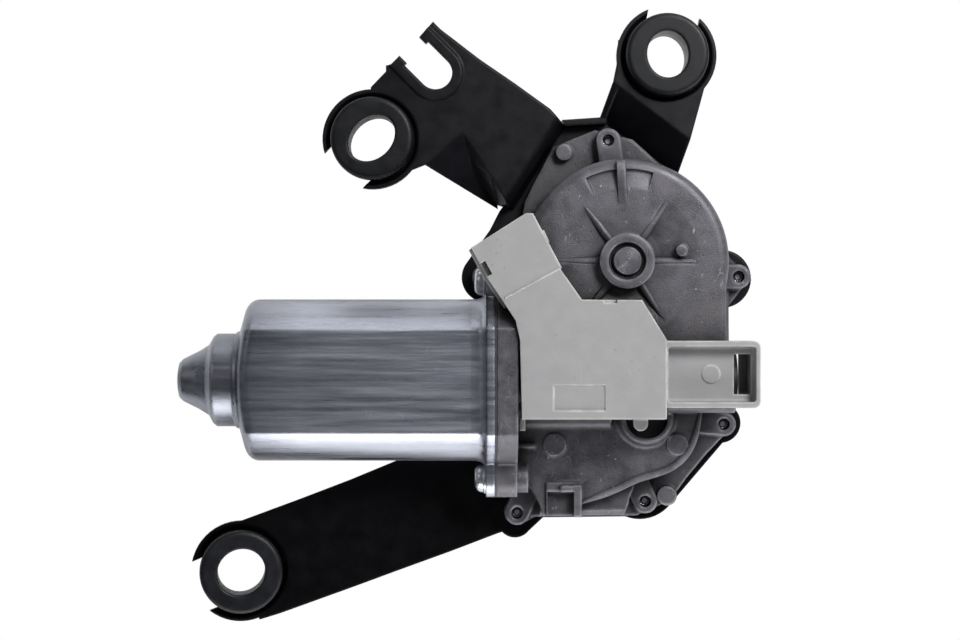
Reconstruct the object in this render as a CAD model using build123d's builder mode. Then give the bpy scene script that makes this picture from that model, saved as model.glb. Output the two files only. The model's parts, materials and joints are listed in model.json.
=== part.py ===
from build123d import *
import math
import os

os.makedirs("parts", exist_ok=True)

# Alignment of cylinders that stand on, or hang from, their place
SIT = (Align.CENTER, Align.CENTER, Align.MIN)
HANG = (Align.CENTER, Align.CENTER, Align.MAX)

# Clearances: standing fit, running fit, open gap
FIT = 0.05
RUN = 0.03
GAP = 0.3

# Shared levels. The origin is the output shaft axis on the outer face of the bracket plate.
PLATE_T = 2.0
GASKET_T = 0.5
JOINT_Z = PLATE_T + GASKET_T
AXIS_Y = 11.7
AXIS_Z = 23.5

# Rubber mounts, and the cups that hold them
PAD_Z = 12.0
SEAT_DROP = 1.5
FLANGE_R = 13.1
FLANGE_T = 6.0
FLANGE_ROUND = 1.2
NECK_R = 9.8
HOLE_UL = (8.1, 6.4, 45.0)
HOLE_UR = (7.35, 6.45, 95.0)
HOLE_LL = (7.6, 7.1, 30.0)
CUP_IN = FLANGE_R + 0.4
CUP_RIM = 2.3
CUP_OUT = CUP_IN + CUP_RIM
CUP_BEVEL = 1.2
ENTRY_W = 16.5
MOUNT_UL = (-85.9, 87.6)
MOUNT_UR = (7.3, 114.0)
MOUNT_LL = (-127.4, -49.2)
OPEN_UL = 227.5
OPEN_UR = 80.0
OPEN_LL = 200.0

# Arms of the bracket
ARM_TILT = 7.0
ARM_DIR = (-0.958, -0.287)
BEND_R = 3.4
SLOT_C = (-65.9, 108.6)
SLOT_R = 5.3
SLOT_DIR = 135.0
SLOT_LEN = 16.0
SLOT_MOUTH = 4.3
SLOT_STRAIGHT = 8.6
SLOT_RIM = 8.6
RIM_RISE = 0.7
EDGE_WALL = 7.0

# Worm and wheel
WHEEL_TEETH = 52
WHEEL_PITCH_R = 29.2
WORM_PITCH_R = 7.4
LEAD = 2 * math.pi * WHEEL_PITCH_R / WHEEL_TEETH
TIP_ADD = 0.9
ROOT_DROP = 1.4
WORM_TIP_R = WORM_PITCH_R + 0.95
WORM_ROOT_R = WORM_PITCH_R - 1.25
WORM_TURNS = 5.5
THREAD_W = 1.45
GAP_W = 1.95
WHEEL_TIP_R = WHEEL_PITCH_R + TIP_ADD
WHEEL_ROOT_R = WHEEL_PITCH_R - ROOT_DROP
WHEEL_W = 8.0
WHEEL_BOTTOM = AXIS_Z - WHEEL_W / 2
WHEEL_TOP = AXIS_Z + WHEEL_W / 2
WHEEL_X = -6.9
WHEEL_Y = AXIS_Y + WORM_PITCH_R + WHEEL_PITCH_R
FLANK = math.tan(math.radians(20))
AXLE_R = 4.6
AXLE_HEAD_R = 6.4
HUB_R = 8.2
HUB_DROP = 0.6
WEB_DROP = 2.5
DISC_OUT = 20.0
DISC_IN = 11.0
DISC_T = 0.6
FINGER_T = 0.4
FINGER_W = 2.0

# Swing linkage and output shaft
CRANK_THROW = 10.0
CRANK_ANGLE = 172.3
CRANK = (WHEEL_X + CRANK_THROW * math.cos(math.radians(CRANK_ANGLE)),
         WHEEL_Y + CRANK_THROW * math.sin(math.radians(CRANK_ANGLE)))
CRANK_R = 3.0
ROCKER_LEN = 24.0
ROCKER_ANGLE = 187.374
ROCKER_PIN = (ROCKER_LEN * math.cos(math.radians(ROCKER_ANGLE)),
              ROCKER_LEN * math.sin(math.radians(ROCKER_ANGLE)))
ROCKER_PIN_R = 3.0
ROCKER_Z = 4.0
ROCKER_T = 2.6
MODULE = 1.5
PINION_TEETH = 13
SECTOR_TEETH = 19
GEAR_BOTTOM = 7.0
GEAR_T = 5.4
GEAR_TOP = GEAR_BOTTOM + GEAR_T
SHAFT_TOP = GEAR_TOP + 0.5
LINK_W = 9.0
EYE_R = 6.2
OUT_R = 6.0
OUT_STEP = 0.6
OUT_BUSH_R = 8.0
BUSH_STARTS = (-17.0, -6.0)
OUT_BUSH_LEN = 9.0
TUBE_R = 11.0
SPIGOT_R = TUBE_R + 0.6
COLLAR_R = 14.0
COLLAR_T = 1.2
TUBE_END = -18.0
SEAL_T = 1.5
RING_T = 1.1
RING_Z = TUBE_END - SEAL_T - GAP - RING_T - 0.1
SERRATION_END = RING_Z - 7.0
TAPER_END = SERRATION_END - 6.0
THREAD_R = 4.0
SHAFT_TIP = -45.0

# Gear housing
WALL = 2.5
CHAMBER_R = WHEEL_TIP_R + 0.3
DRUM_R = CHAMBER_R + 1.3
ROOF_IN = WHEEL_TOP + 2.0
ROOF_Z = ROOF_IN + WALL
DRUM_ROUND = 3.0
FLOOR_Z = 21.0
FLOOR_IN = FLOOR_Z - WALL
BAND_IN = GEAR_TOP + 0.8
BAND_Z = BAND_IN + WALL
SHELF_Z = 8.0
FLANGE_TOP = 6.0
BORE_R = WORM_TIP_R + 0.3
TUNNEL_R = BORE_R + 1.6
BORE_END = 24.5
TUNNEL_END = BORE_END + WALL
BOSS_R = 8.4
BOSS_TOP = ROOF_Z + 4.0
BOSS_BORE = AXLE_R + 1.1
WELL_R = 6.6
WELL_RIM = 24.0
WELL_FLOOR = 20.4
EAR_R = 3.8
EAR_TOP = 10.0
EARS = [(-11.0, 87.4), (30.4, 44.1), (25.7, -2.8), (0.7, -27.3), (-40.0, -31.0), (-50.3, 44.0)]
EAR_ROOTS = [(-9.5, 77.0), (20.0, 44.1), (14.0, -1.6), (-3.4, -18.0), (-35.0, -20.0), (-36.0, 47.0)]
EAR_POCKET = 5.7
SCREW_R = 1.8
SCREW_TIP = 7.0
SCOOP_R = 22.5
SCOOPS = [(-2.0, 60.0, 1.2), (128.0, 53.0, 1.2), (226.0, 77.0, 1.6)]
POCKET_START = 73.0
POCKET_SPAN = 43.0
POCKET_IN = 22.2
POCKET_OUT = 28.4
POCKET_DEPTH = 1.2
RIB_ANGLE = 93.5
RIB_IN = 17.8
RIB_OUT = DRUM_R - 0.9
RIB_RISE = 1.9
RIB_W = 2.6
STUDS = [(-25.0, 83.7, 2.6, 9.0), (7.6, -25.5, 3.1, 10.4)]
MARKS = [(-28.5, -8.7, 3.6), (9.8, -8.6, 3.4)]
SEAT_PADS = [(-32.0, 8.0), (-2.0, 30.0), (-30.0, 32.0)]

# Motor can and what it holds
CAN_R = 25.0
CAN_FLAT = 19.5
CAN_WALL = 1.8
CAN_SLOPE = 3.4
CAN_ROUND = 4.0
CAN_FACE = -47.3
COMM_SET = 17.2
COMM_GAP = 1.1
WINDING_LEN = 6.4
STACK_LEN = 40.0
TAIL_ROOM = 14.2
COMM_X = CAN_FACE - COMM_SET
STACK_START = COMM_X - COMM_GAP - WINDING_LEN - STACK_LEN
CAN_END = STACK_START - TAIL_ROOM
CAN_FLANGE_T = 2.6
CAN_LIP = 1.3
PLUG_T = 0.8
HOUSING_FACE = CAN_FACE + PLUG_T
HOUSING_FLANGE_T = 6.2
FLANGE_BACK = HOUSING_FACE + HOUSING_FLANGE_T
FLANGE_GROW = 1.4
CAN_EAR_OUT = 5.6
SCREW_DY = CAN_R + CAN_EAR_OUT
CAN_EAR_R = 5.8
CAN_SCREW_R = 2.5
CAN_SCREW_LEN = 11.0
CAN_HEAD_R = 4.4
NOSE_R = 14.4
NOSE_LEN = 8.0
SHAFT_R = 4.0
SHAFT_END = BORE_END - 3.0
BUSH_R = 6.0
BUSH_LEN = 6.0
BUSH_X = CAN_END - 14.4
DRIVE_BUSH_R = BORE_R + 0.4
DRIVE_BUSH_LEN = 7.0
TAIL_BUSH_LEN = 7.0
MAGNET_IN = 17.0
CORE_R = MAGNET_IN - 0.8
MAGNET_SPAN = 30.0
MAGNET_OVER = 4.0
SLOTS = 8
COMM_R = 9.5
COMM_LEN = 12.5
HOLDER_X = COMM_X + 3.0
HOLDER_W = 9.6
HOLDER_IN = COMM_R + 1.6
HOLDER_OUT = CAN_R - CAN_WALL - 1.1
BRUSH_W = 6.3
SPRING_R = 2.0
SPRING_WIRE = 0.3
SPRING_LEN = 3.5
SPRING_START = HOLDER_OUT - SPRING_LEN
BRUSH_LEN = SPRING_START - SPRING_WIRE - 0.2 - COMM_R

# Connector
CONN_Z = ROOF_Z + 2.6
CONN_SPLIT = CONN_Z + 4.2
CONN_TOP = CONN_Z + 11.4
CONN_WALL = 1.4
CONN_STEP = 0.9
SOCKET_RISE = 0.8
LEFT_SIDE = [(-39.8, 24.3), (-41.9, 29.7), (-45.8, 35.7), (-50.3, 42.3), (-55.2, 51.5)]
RIGHT_SIDE = [(-38.0, 62.3), (-35.9, 62.2), (-28.2, 46.2), (-21.3, 36.4), (-3.3, 36.3), (4.1, 24.4)]
FOOT_Y = 0.1
STEP_LINE = [(-44.6, 36.6), (-27.3, 45.9)]
MOUTH = (-45.6, 56.85)
MOUTH_ANGLE = 119.2
MOUTH_W = 17.2
BLADE_W = 1.8
BLADE_T = 0.8
BLADE_LEN = 17.0
BLADE_PITCH = 4.0
BLADE_SETBACK = 3.5
BLADE_Z = CONN_Z + 4.4
TONGUE_TOP = CONN_Z + 7.4
TONGUE_END = 32.7
TONGUE_LOW = 3.8
TONGUE_HIGH = 24.0
TONGUE_FLOOR = CONN_Z + 2.4
HOOK_Z = 24.0


def flat_circle(radius, half_height):
    """Round can section with two flats, centred on the motor axis, on a YZ sketch."""
    with BuildSketch(mode=Mode.PRIVATE) as section:
        Circle(radius)
        Rectangle(2 * radius, 2 * half_height, mode=Mode.INTERSECT)
    return section.sketch


def eared_section(grow):
    """Can section grown outwards, with the two screw ears."""
    with BuildSketch(mode=Mode.PRIVATE) as section:
        add(flat_circle(CAN_R + grow, CAN_FLAT + grow))
        SlotCenterToCenter(2 * SCREW_DY, 2 * CAN_EAR_R)
    return section.sketch


def motor_plane(x):
    """YZ plane at x, centred on the motor axis."""
    return Plane(origin=(x, AXIS_Y, AXIS_Z), x_dir=(0, 1, 0), z_dir=(1, 0, 0))


def wheel_plane(z):
    """XY plane at z, centred on the worm wheel axis."""
    return Plane(origin=(WHEEL_X, WHEEL_Y, z), x_dir=(1, 0, 0), z_dir=(0, 0, 1))


def spoke_plane(angle):
    """Upright plane through the wheel axis: its X runs outwards at the angle, its Y is up."""
    a = math.radians(angle)
    return Plane(origin=(WHEEL_X, WHEEL_Y, 0), x_dir=(math.cos(a), math.sin(a), 0),
                 z_dir=(math.sin(a), -math.cos(a), 0))


def involute_gear(teeth, module, clearance, first, last, rim_r):
    """Gear outline with true involute flanks, teeth first to last about the X direction."""
    pitch_r = module * teeth / 2
    base_r = pitch_r * math.cos(math.radians(20))
    tip_r = pitch_r + 0.9 * module
    root_r = pitch_r - 1.25 * module
    half = (math.pi * module / 2 - clearance) / (2 * pitch_r)

    def involute(r):
        angle = math.acos(min(1.0, base_r / r))
        return math.tan(angle) - angle

    radii = [max(base_r, root_r + 0.1), pitch_r, (pitch_r + tip_r) / 2, tip_r]
    points = []
    for k in range(first, last + 1):
        middle = 2 * math.pi * k / teeth
        spread = [half + involute(pitch_r) - involute(r) for r in radii]
        points.append((root_r, middle - spread[0]))
        points += [(r, middle - s) for r, s in zip(radii, spread)]
        points += [(r, middle + s) for r, s in zip(reversed(radii), reversed(spread))]
        points.append((root_r, middle + spread[0]))
    outline = [(r * math.cos(a), r * math.sin(a)) for r, a in points]
    if last - first + 1 < teeth:
        outline.append((0, 0))
    with BuildSketch(mode=Mode.PRIVATE) as profile:
        with BuildLine():
            Polyline(*outline, close=True)
        make_face()
        Circle(rim_r)
    return profile.sketch


def plan(points):
    """Flat face with straight sides through the points, on XY."""
    with BuildSketch(mode=Mode.PRIVATE) as shape:
        with BuildLine():
            Polyline(*points, close=True)
        make_face()
    return shape.sketch


def fold_height(point, hinge_a, hinge_b, far, top, drop):
    """Height on a flat facet that leaves the fold line at top and has dropped by drop at far."""
    ux, uy = hinge_b[0] - hinge_a[0], hinge_b[1] - hinge_a[1]

    def away(p):
        return ux * (p[1] - hinge_a[1]) - uy * (p[0] - hinge_a[0])

    return top - drop * away(point) / away(far)


def facet(points, thickness):
    """Sheet facet through points, with upright edges."""
    face = Face(Wire.make_polygon([Vector(*p) for p in points], close=True))
    return extrude(face, amount=thickness, dir=(0, 0, -1))


def sloped(points, hinge_a, hinge_b, far, top, drop, thickness):
    """Sheet facet over a plan outline, sloping away from a fold line."""
    return facet([(p[0], p[1], fold_height(p, hinge_a, hinge_b, far, top, drop)) for p in points], thickness)


# Motor can, drawn cup with a sloped end and a nose for the rear bearing
MOTOR_AXIS = Axis((0, AXIS_Y, AXIS_Z), (1, 0, 0))
WHEEL_AXIS = Axis((WHEEL_X, WHEEL_Y, 0), (0, 0, 1))
SIDE_PLANE = Plane(origin=(0, AXIS_Y, AXIS_Z), x_dir=(1, 0, 0), z_dir=(0, 0, 1))
NOSE_END = CAN_END - NOSE_LEN
CONE_END = CAN_END - 19.2

with BuildPart() as can_hollow:
    with BuildSketch(motor_plane(CAN_END + CAN_SLOPE + CAN_WALL)):
        add(flat_circle(CAN_R - CAN_WALL, CAN_FLAT - CAN_WALL))
    extrude(amount=CAN_FACE - CAN_END)
    fillet(can_hollow.faces().sort_by(Axis.X)[0].edges(), radius=CAN_ROUND)

with BuildPart() as motor_can:
    with BuildSketch(motor_plane(CAN_END)):
        add(flat_circle(CAN_R, CAN_FLAT))
    extrude(amount=CAN_FACE - CAN_END)
    with BuildSketch(SIDE_PLANE):
        with BuildLine():
            Polyline((CAN_END - 1, NOSE_R), (CAN_END, NOSE_R), (CAN_END + CAN_SLOPE, CAN_R + 0.5),
                     (CAN_END + CAN_SLOPE, CAN_R + 2), (CAN_END - 1, CAN_R + 2), close=True)
        make_face()
    revolve(axis=MOTOR_AXIS, mode=Mode.SUBTRACT)
    fillet(motor_can.edges().filter_by(lambda e: CAN_END + 0.2 < e.center().X < CAN_END + CAN_SLOPE + 0.2),
           radius=CAN_ROUND)
    with BuildSketch(motor_plane(CAN_FACE - CAN_FLANGE_T)):
        add(eared_section(CAN_LIP))
    extrude(amount=CAN_FLANGE_T)
    with BuildSketch(SIDE_PLANE):
        with BuildLine():
            Polyline((CAN_END + 3, 0), (CAN_END + 3, NOSE_R + 0.9), (CAN_END + 0.2, NOSE_R + 0.9),
                     (CAN_END - 0.9, NOSE_R + 0.5), (CAN_END - 1.1, NOSE_R), (NOSE_END + 1.0, NOSE_R),
                     (NOSE_END, NOSE_R - 0.8), (NOSE_END - 1.5, NOSE_R - 3.4), (NOSE_END - 4.6, NOSE_R - 5.3),
                     (CONE_END + 1.6, BUSH_R + 0.6), (CONE_END + 0.5, BUSH_R - 0.5), (CONE_END, BUSH_R - 2.6),
                     (CONE_END, 0), close=True)
        make_face()
    revolve(axis=MOTOR_AXIS)
    add(can_hollow.part, mode=Mode.SUBTRACT)
    with BuildSketch(SIDE_PLANE):
        with BuildLine():
            Polyline((CAN_END + CAN_SLOPE + 3, 0), (CAN_END + CAN_SLOPE + 3, NOSE_R - 2.0),
                     (NOSE_END + CAN_WALL, NOSE_R - 2.0), (NOSE_END + 0.2, BUSH_R + 2.2),
                     (NOSE_END - 0.3, BUSH_R + FIT), (BUSH_X, BUSH_R + FIT), (BUSH_X, BUSH_R - 1.4),
                     (CONE_END + 1.6, SHAFT_R + 0.2), (CONE_END + 1.6, 0), close=True)
        make_face()
    revolve(axis=MOTOR_AXIS, mode=Mode.SUBTRACT)
    for side in (1, -1):
        with Locations(motor_plane(CAN_FACE - CAN_FLANGE_T).location):
            with Locations((side * SCREW_DY, 0, 0)):
                Cylinder(CAN_SCREW_R + 0.1, CAN_FLANGE_T, align=SIT, mode=Mode.SUBTRACT)

# Field magnets, two arcs against the round sides of the can
with BuildPart() as field_magnets:
    with BuildSketch(motor_plane(STACK_START - MAGNET_OVER)):
        Circle(CAN_R - CAN_WALL)
        Circle(MAGNET_IN, mode=Mode.SUBTRACT)
        Rectangle(2 * CAN_R, MAGNET_SPAN, mode=Mode.INTERSECT)
    extrude(amount=STACK_LEN + 2 * MAGNET_OVER)
    lead_in = field_magnets.edges().group_by(Axis.X)[0].filter_by(GeomType.CIRCLE).sort_by(SortBy.RADIUS)
    chamfer(lead_in[:2], 0.8)

# Magnet clips, spring channels between the magnets on the two flats
CLIP_T = 0.8
with BuildPart() as magnet_clips:
    with BuildSketch(motor_plane(STACK_START)):
        for side in (1, -1):
            with Locations((0, side * (CAN_FLAT - CAN_WALL - CLIP_T / 2))):
                Rectangle(20, CLIP_T)
            for end in (9.6, -9.6):
                with Locations((end, side * (CAN_FLAT - CAN_WALL - CLIP_T - 0.5))):
                    Rectangle(CLIP_T, 2.0)
    extrude(amount=STACK_LEN)

# Rear bearing and thrust disc in the nose
with BuildPart() as rear_bearing:
    with Locations(motor_plane(BUSH_X).location):
        Cylinder(BUSH_R, BUSH_LEN, align=SIT)
        Cylinder(SHAFT_R + RUN, BUSH_LEN, align=SIT, mode=Mode.SUBTRACT)
    chamfer(rear_bearing.edges().filter_by(GeomType.CIRCLE).sort_by(SortBy.RADIUS)[2:], 0.6)

DISC_X = CONE_END + 1.6
with BuildPart() as thrust_disc:
    with Locations(motor_plane(DISC_X).location):
        Cylinder(SHAFT_R - 0.1, 1.3, align=SIT)

# Armature: shaft with the worm, core, windings and commutator
SHAFT_START = DISC_X + 1.4
worm_start = WHEEL_X - WORM_TURNS / 2 * LEAD
with BuildPart() as armature_shaft:
    with Locations(motor_plane(SHAFT_START).location):
        Cylinder(SHAFT_R, SHAFT_END - SHAFT_START, align=SIT)
    chamfer(armature_shaft.edges().filter_by(GeomType.CIRCLE), 0.5)
    with Locations(motor_plane(WHEEL_X - 3.6 * LEAD).location):
        Cylinder(WORM_ROOT_R, 7.2 * LEAD, align=SIT)
    with BuildLine() as worm_path:
        Helix(LEAD, WORM_TURNS * LEAD, WORM_ROOT_R, center=(worm_start, AXIS_Y, AXIS_Z), direction=(1, 0, 0))
    worm_at = worm_path.line @ 0
    worm_out = worm_at - Vector(worm_start, AXIS_Y, AXIS_Z)
    with BuildSketch(Plane(origin=worm_at, x_dir=worm_out, z_dir=worm_path.line % 0)):
        with BuildLine():
            tip = WORM_TIP_R - WORM_ROOT_R
            wide = THREAD_W / 2 + (WORM_PITCH_R - WORM_ROOT_R) * FLANK
            thin = THREAD_W / 2 - (WORM_TIP_R - WORM_PITCH_R) * FLANK
            Polyline((-0.4, -wide), (0, -wide), (tip, -thin), (tip, thin), (0, wide), (-0.4, wide),
                     close=True)
        make_face()
    sweep(is_frenet=True)

with BuildPart() as armature_core:
    with BuildSketch(motor_plane(STACK_START)):
        Circle(CORE_R)
        with PolarLocations(0.7 * CORE_R, SLOTS):
            SlotOverall(0.41 * CORE_R, 0.28 * CORE_R, mode=Mode.SUBTRACT)
        with PolarLocations(CORE_R, SLOTS):
            Rectangle(4.0, 1.8, mode=Mode.SUBTRACT)
        Circle(SHAFT_R, mode=Mode.SUBTRACT)
    extrude(amount=STACK_LEN)

with BuildPart() as armature_windings:
    for start in (STACK_START - WINDING_LEN - 0.1, STACK_START + STACK_LEN + 0.1):
        with Locations(motor_plane(start).location):
            Cylinder(CORE_R - 0.6, WINDING_LEN, align=SIT)
            Cylinder(SHAFT_R + 2.0, WINDING_LEN, align=SIT, mode=Mode.SUBTRACT)
    fillet(armature_windings.edges().filter_by(GeomType.CIRCLE).group_by(SortBy.RADIUS)[-1], 2.4)

with BuildPart() as commutator:
    with Locations(motor_plane(COMM_X).location):
        Cylinder(COMM_R, COMM_LEN, align=SIT)
        Cylinder(COMM_R + 2.5, 1.6, align=SIT)
        Cylinder(SHAFT_R, COMM_LEN, align=SIT, mode=Mode.SUBTRACT)
    with BuildSketch(motor_plane(COMM_X)):
        with PolarLocations(COMM_R + 0.9, SLOTS):
            Rectangle(4.0, 0.6)
    extrude(amount=COMM_LEN, mode=Mode.SUBTRACT)

# Brush plate, brushes, springs and chokes
HOLDER_LEN = HOLDER_OUT - HOLDER_IN
HOLDER_MID = (HOLDER_OUT + HOLDER_IN) / 2
BRUSH_MID = COMM_R + BRUSH_LEN / 2
with BuildPart() as brush_plate:
    with BuildSketch(motor_plane(CAN_FACE)):
        add(eared_section(1.0))
        Circle(DRIVE_BUSH_R + 0.4, mode=Mode.SUBTRACT)
        with Locations((SCREW_DY, 0), (-SCREW_DY, 0)):
            Circle(CAN_SCREW_R + 0.1, mode=Mode.SUBTRACT)
    extrude(amount=PLUG_T)
    with BuildSketch(motor_plane(HOLDER_X)):
        with Locations((HOLDER_MID, 0), (-HOLDER_MID, 0)):
            Rectangle(HOLDER_LEN, HOLDER_W)
            Rectangle(HOLDER_LEN, BRUSH_W + 0.2, mode=Mode.SUBTRACT)
    extrude(amount=CAN_FACE - HOLDER_X)
    with BuildSketch(motor_plane(HOLDER_X)):
        with Locations((HOLDER_MID, 0), (-HOLDER_MID, 0)):
            Rectangle(HOLDER_LEN, HOLDER_W)
    extrude(amount=1.4)

with BuildPart() as carbon_brushes:
    with BuildSketch(motor_plane(HOLDER_X + 1.5)):
        with Locations((BRUSH_MID, 0), (-BRUSH_MID, 0)):
            Rectangle(BRUSH_LEN, BRUSH_W)
        Circle(COMM_R + RUN, mode=Mode.SUBTRACT)
    extrude(amount=8.0)

with BuildPart() as brush_springs:
    for side in (1, -1):
        with BuildLine() as coil:
            Helix(1.0, SPRING_LEN, SPRING_R, direction=(0, side, 0),
                  center=(HOLDER_X + 5.5, AXIS_Y + side * SPRING_START, AXIS_Z))
        with BuildSketch(Plane(origin=coil.line @ 0, z_dir=coil.line % 0)):
            Circle(SPRING_WIRE)
        sweep(is_frenet=True)

with BuildPart() as suppression_chokes:
    for y in (7.0, -7.0):
        with Locations(motor_plane(HOLDER_X + 1.5).location):
            with Locations((y, CAN_FLAT - 5.3, 0)):
                Cylinder(2.6, CAN_FACE - HOLDER_X - 1.5, align=SIT)
    fillet(suppression_chokes.edges().group_by(Axis.X)[0], 0.8)

# Can screws, domed head with washer, shank into the housing flange
with BuildPart() as can_screws:
    for side in (1, -1):
        with Locations(motor_plane(CAN_FACE - CAN_FLANGE_T).location):
            with Locations((side * SCREW_DY, 0, 0)):
                Cylinder(CAN_HEAD_R + 0.4, 0.8, align=HANG)
                Cylinder(CAN_SCREW_R, CAN_SCREW_LEN, align=SIT)
                with Locations((0, 0, -0.8)):
                    Cylinder(CAN_HEAD_R, 2.8, align=HANG)
    fillet(can_screws.edges().group_by(Axis.X)[0], 1.6)
    with BuildSketch(motor_plane(CAN_FACE - CAN_FLANGE_T - 3.6)):
        with Locations((SCREW_DY, 0), (-SCREW_DY, 0)):
            Rectangle(4.6, 1.0)
            Rectangle(1.0, 4.6)
    extrude(amount=1.8, mode=Mode.SUBTRACT)

# Bearings at the drive end and behind the worm
with BuildPart() as drive_end_bearing:
    with Locations(motor_plane(HOUSING_FACE).location):
        Cylinder(DRIVE_BUSH_R, DRIVE_BUSH_LEN, align=SIT)
        Cylinder(SHAFT_R + RUN, DRIVE_BUSH_LEN, align=SIT, mode=Mode.SUBTRACT)

with BuildPart() as worm_end_bearing:
    with Locations(motor_plane(SHAFT_END - TAIL_BUSH_LEN - 0.5).location):
        Cylinder(BORE_R - FIT, TAIL_BUSH_LEN, align=SIT)
        Cylinder(SHAFT_R + RUN, TAIL_BUSH_LEN, align=SIT, mode=Mode.SUBTRACT)

with BuildPart() as thrust_button:
    with Locations(motor_plane(SHAFT_END + 0.2).location):
        Cylinder(BORE_R - 1.0, BORE_END - SHAFT_END - 0.2, align=SIT)

# Gear housing, first its four rounded main forms
RIDGE = [(-20.0, -27.3), (-14.0, -25.2), (-8.2, -22.9), (-2.6, -20.0), (3.4, -18.4), (8.6, -16.5),
         (13.2, -12.4), (16.2, -5.6), (17.4, 2.6)]
SHELF = [(-40.6, 45.0), (-40.6, -27.5), (-36.5, -32.4), (-2.0, -32.0), (8.8, -27.2), (14.0, -20.0),
         (20.3, -12.4), (26.4, -6.0), (27.4, -2.0), (27.4, 48.0)]
BAND = [(-32.8, -20.0), (-32.8, -31.4), (-6.4, -31.2), (-4.6, -26.0), (-2.0, -18.0)]
BLOCK = [(-38.0, 2.5), (23.8, 2.5), (23.8, 48.0), (17.0, 60.0), (-30.0, 60.0), (-38.0, 48.0)]
SKIRTS = [
    [(-38.6, 61.0), (-37.4, 68.0), (-34.8, 73.4), (-28.4, 85.6), (-15.0, 91.0), (-3.0, 88.0), (8.0, 78.0),
     (-7.0, 50.0), (-40.6, 50.0)],
    [(30.0, 48.2), (34.0, 43.0), (27.0, 34.0), (20.0, 40.0), (24.0, 55.0)],
    [(27.0, 2.5), (29.0, -0.5), (26.5, -6.9), (20.0, -6.0), (20.0, 2.5)],
    [(-4.0, -30.0), (-3.0, -31.0), (4.0, -29.8), (8.0, -26.0), (0, -20)],
    [(-43.6, -29.0), (-38.0, -34.6), (-33.0, -32.0), (-36, -24), (-41, -24)],
    [(-54.2, 42.6), (-53.0, 47.4), (-38.0, 60.0), (-36.0, 40.0), (-48.0, 40.0)],
]
CAVITY = [(-38.0, 1.4), (-38.0, -15.0), (-35.4, -18.6), (-30.4, -26.6), (-21.2, -26.6), (-20.4, -24.6),
          (-9.0, -20.4), (-4.0, -17.4), (3.4, -15.8), (8.0, -13.8), (11.4, -10.6), (14.0, -5.0),
          (14.8, 1.4)]
BAND_CAVITY = [(-30.4, -20.0), (-30.4, -28.8), (-8.6, -28.8), (-5.6, -24.4), (-4.6, -17.0)]
BLOCK_CAVITY = [(-38.0, 1.0), (14.8, 1.0), (14.8, 5.0), (21.6, 5.0), (21.6, 46.0), (-34.0, 46.0),
                (-38.0, 40.0)]

with BuildPart() as drum:
    with Locations(wheel_plane(JOINT_Z).location):
        Cylinder(DRUM_R, ROOF_Z - JOINT_Z, align=SIT)
    fillet(drum.edges().group_by(Axis.Z)[-1], radius=DRUM_ROUND)

with BuildPart() as floor_block:
    with BuildSketch(Plane.XY.offset(JOINT_Z)):
        with BuildLine():
            Spline(*RIDGE)
            Polyline(RIDGE[-1], (17.4, 20.0), (FLANGE_BACK, 20.0), (FLANGE_BACK, -17.5))
            ThreePointArc((FLANGE_BACK, -17.5), (-35.4, -23.2), (-32.0, -31.0))
            Polyline((-32.0, -31.0), (-20.0, -31.0), RIDGE[0])
        make_face()
    extrude(amount=FLOOR_Z - JOINT_Z)
    fillet(floor_block.faces().sort_by(Axis.Z)[-1].edges(), radius=0.9)

with BuildPart() as block:
    with BuildSketch(Plane.XY.offset(JOINT_Z)):
        add(plan(BLOCK))
    extrude(amount=ROOF_Z - JOINT_Z)
    fillet(block.edges().filter_by(Axis.Z), radius=2.0)
    fillet(block.faces().sort_by(Axis.Z)[-1].edges(), radius=1.4)

with BuildPart() as band:
    with BuildSketch(Plane.XY.offset(JOINT_Z)):
        add(plan(BAND))
    extrude(amount=BAND_Z - JOINT_Z)
    with Locations((*EARS[3], EAR_TOP)):
        Cylinder(EAR_POCKET, BAND_Z, align=SIT, mode=Mode.SUBTRACT)
    chamfer(band.faces().sort_by(Axis.Z)[-1].edges().sort_by(Axis.Y)[0], 1.6)

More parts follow.
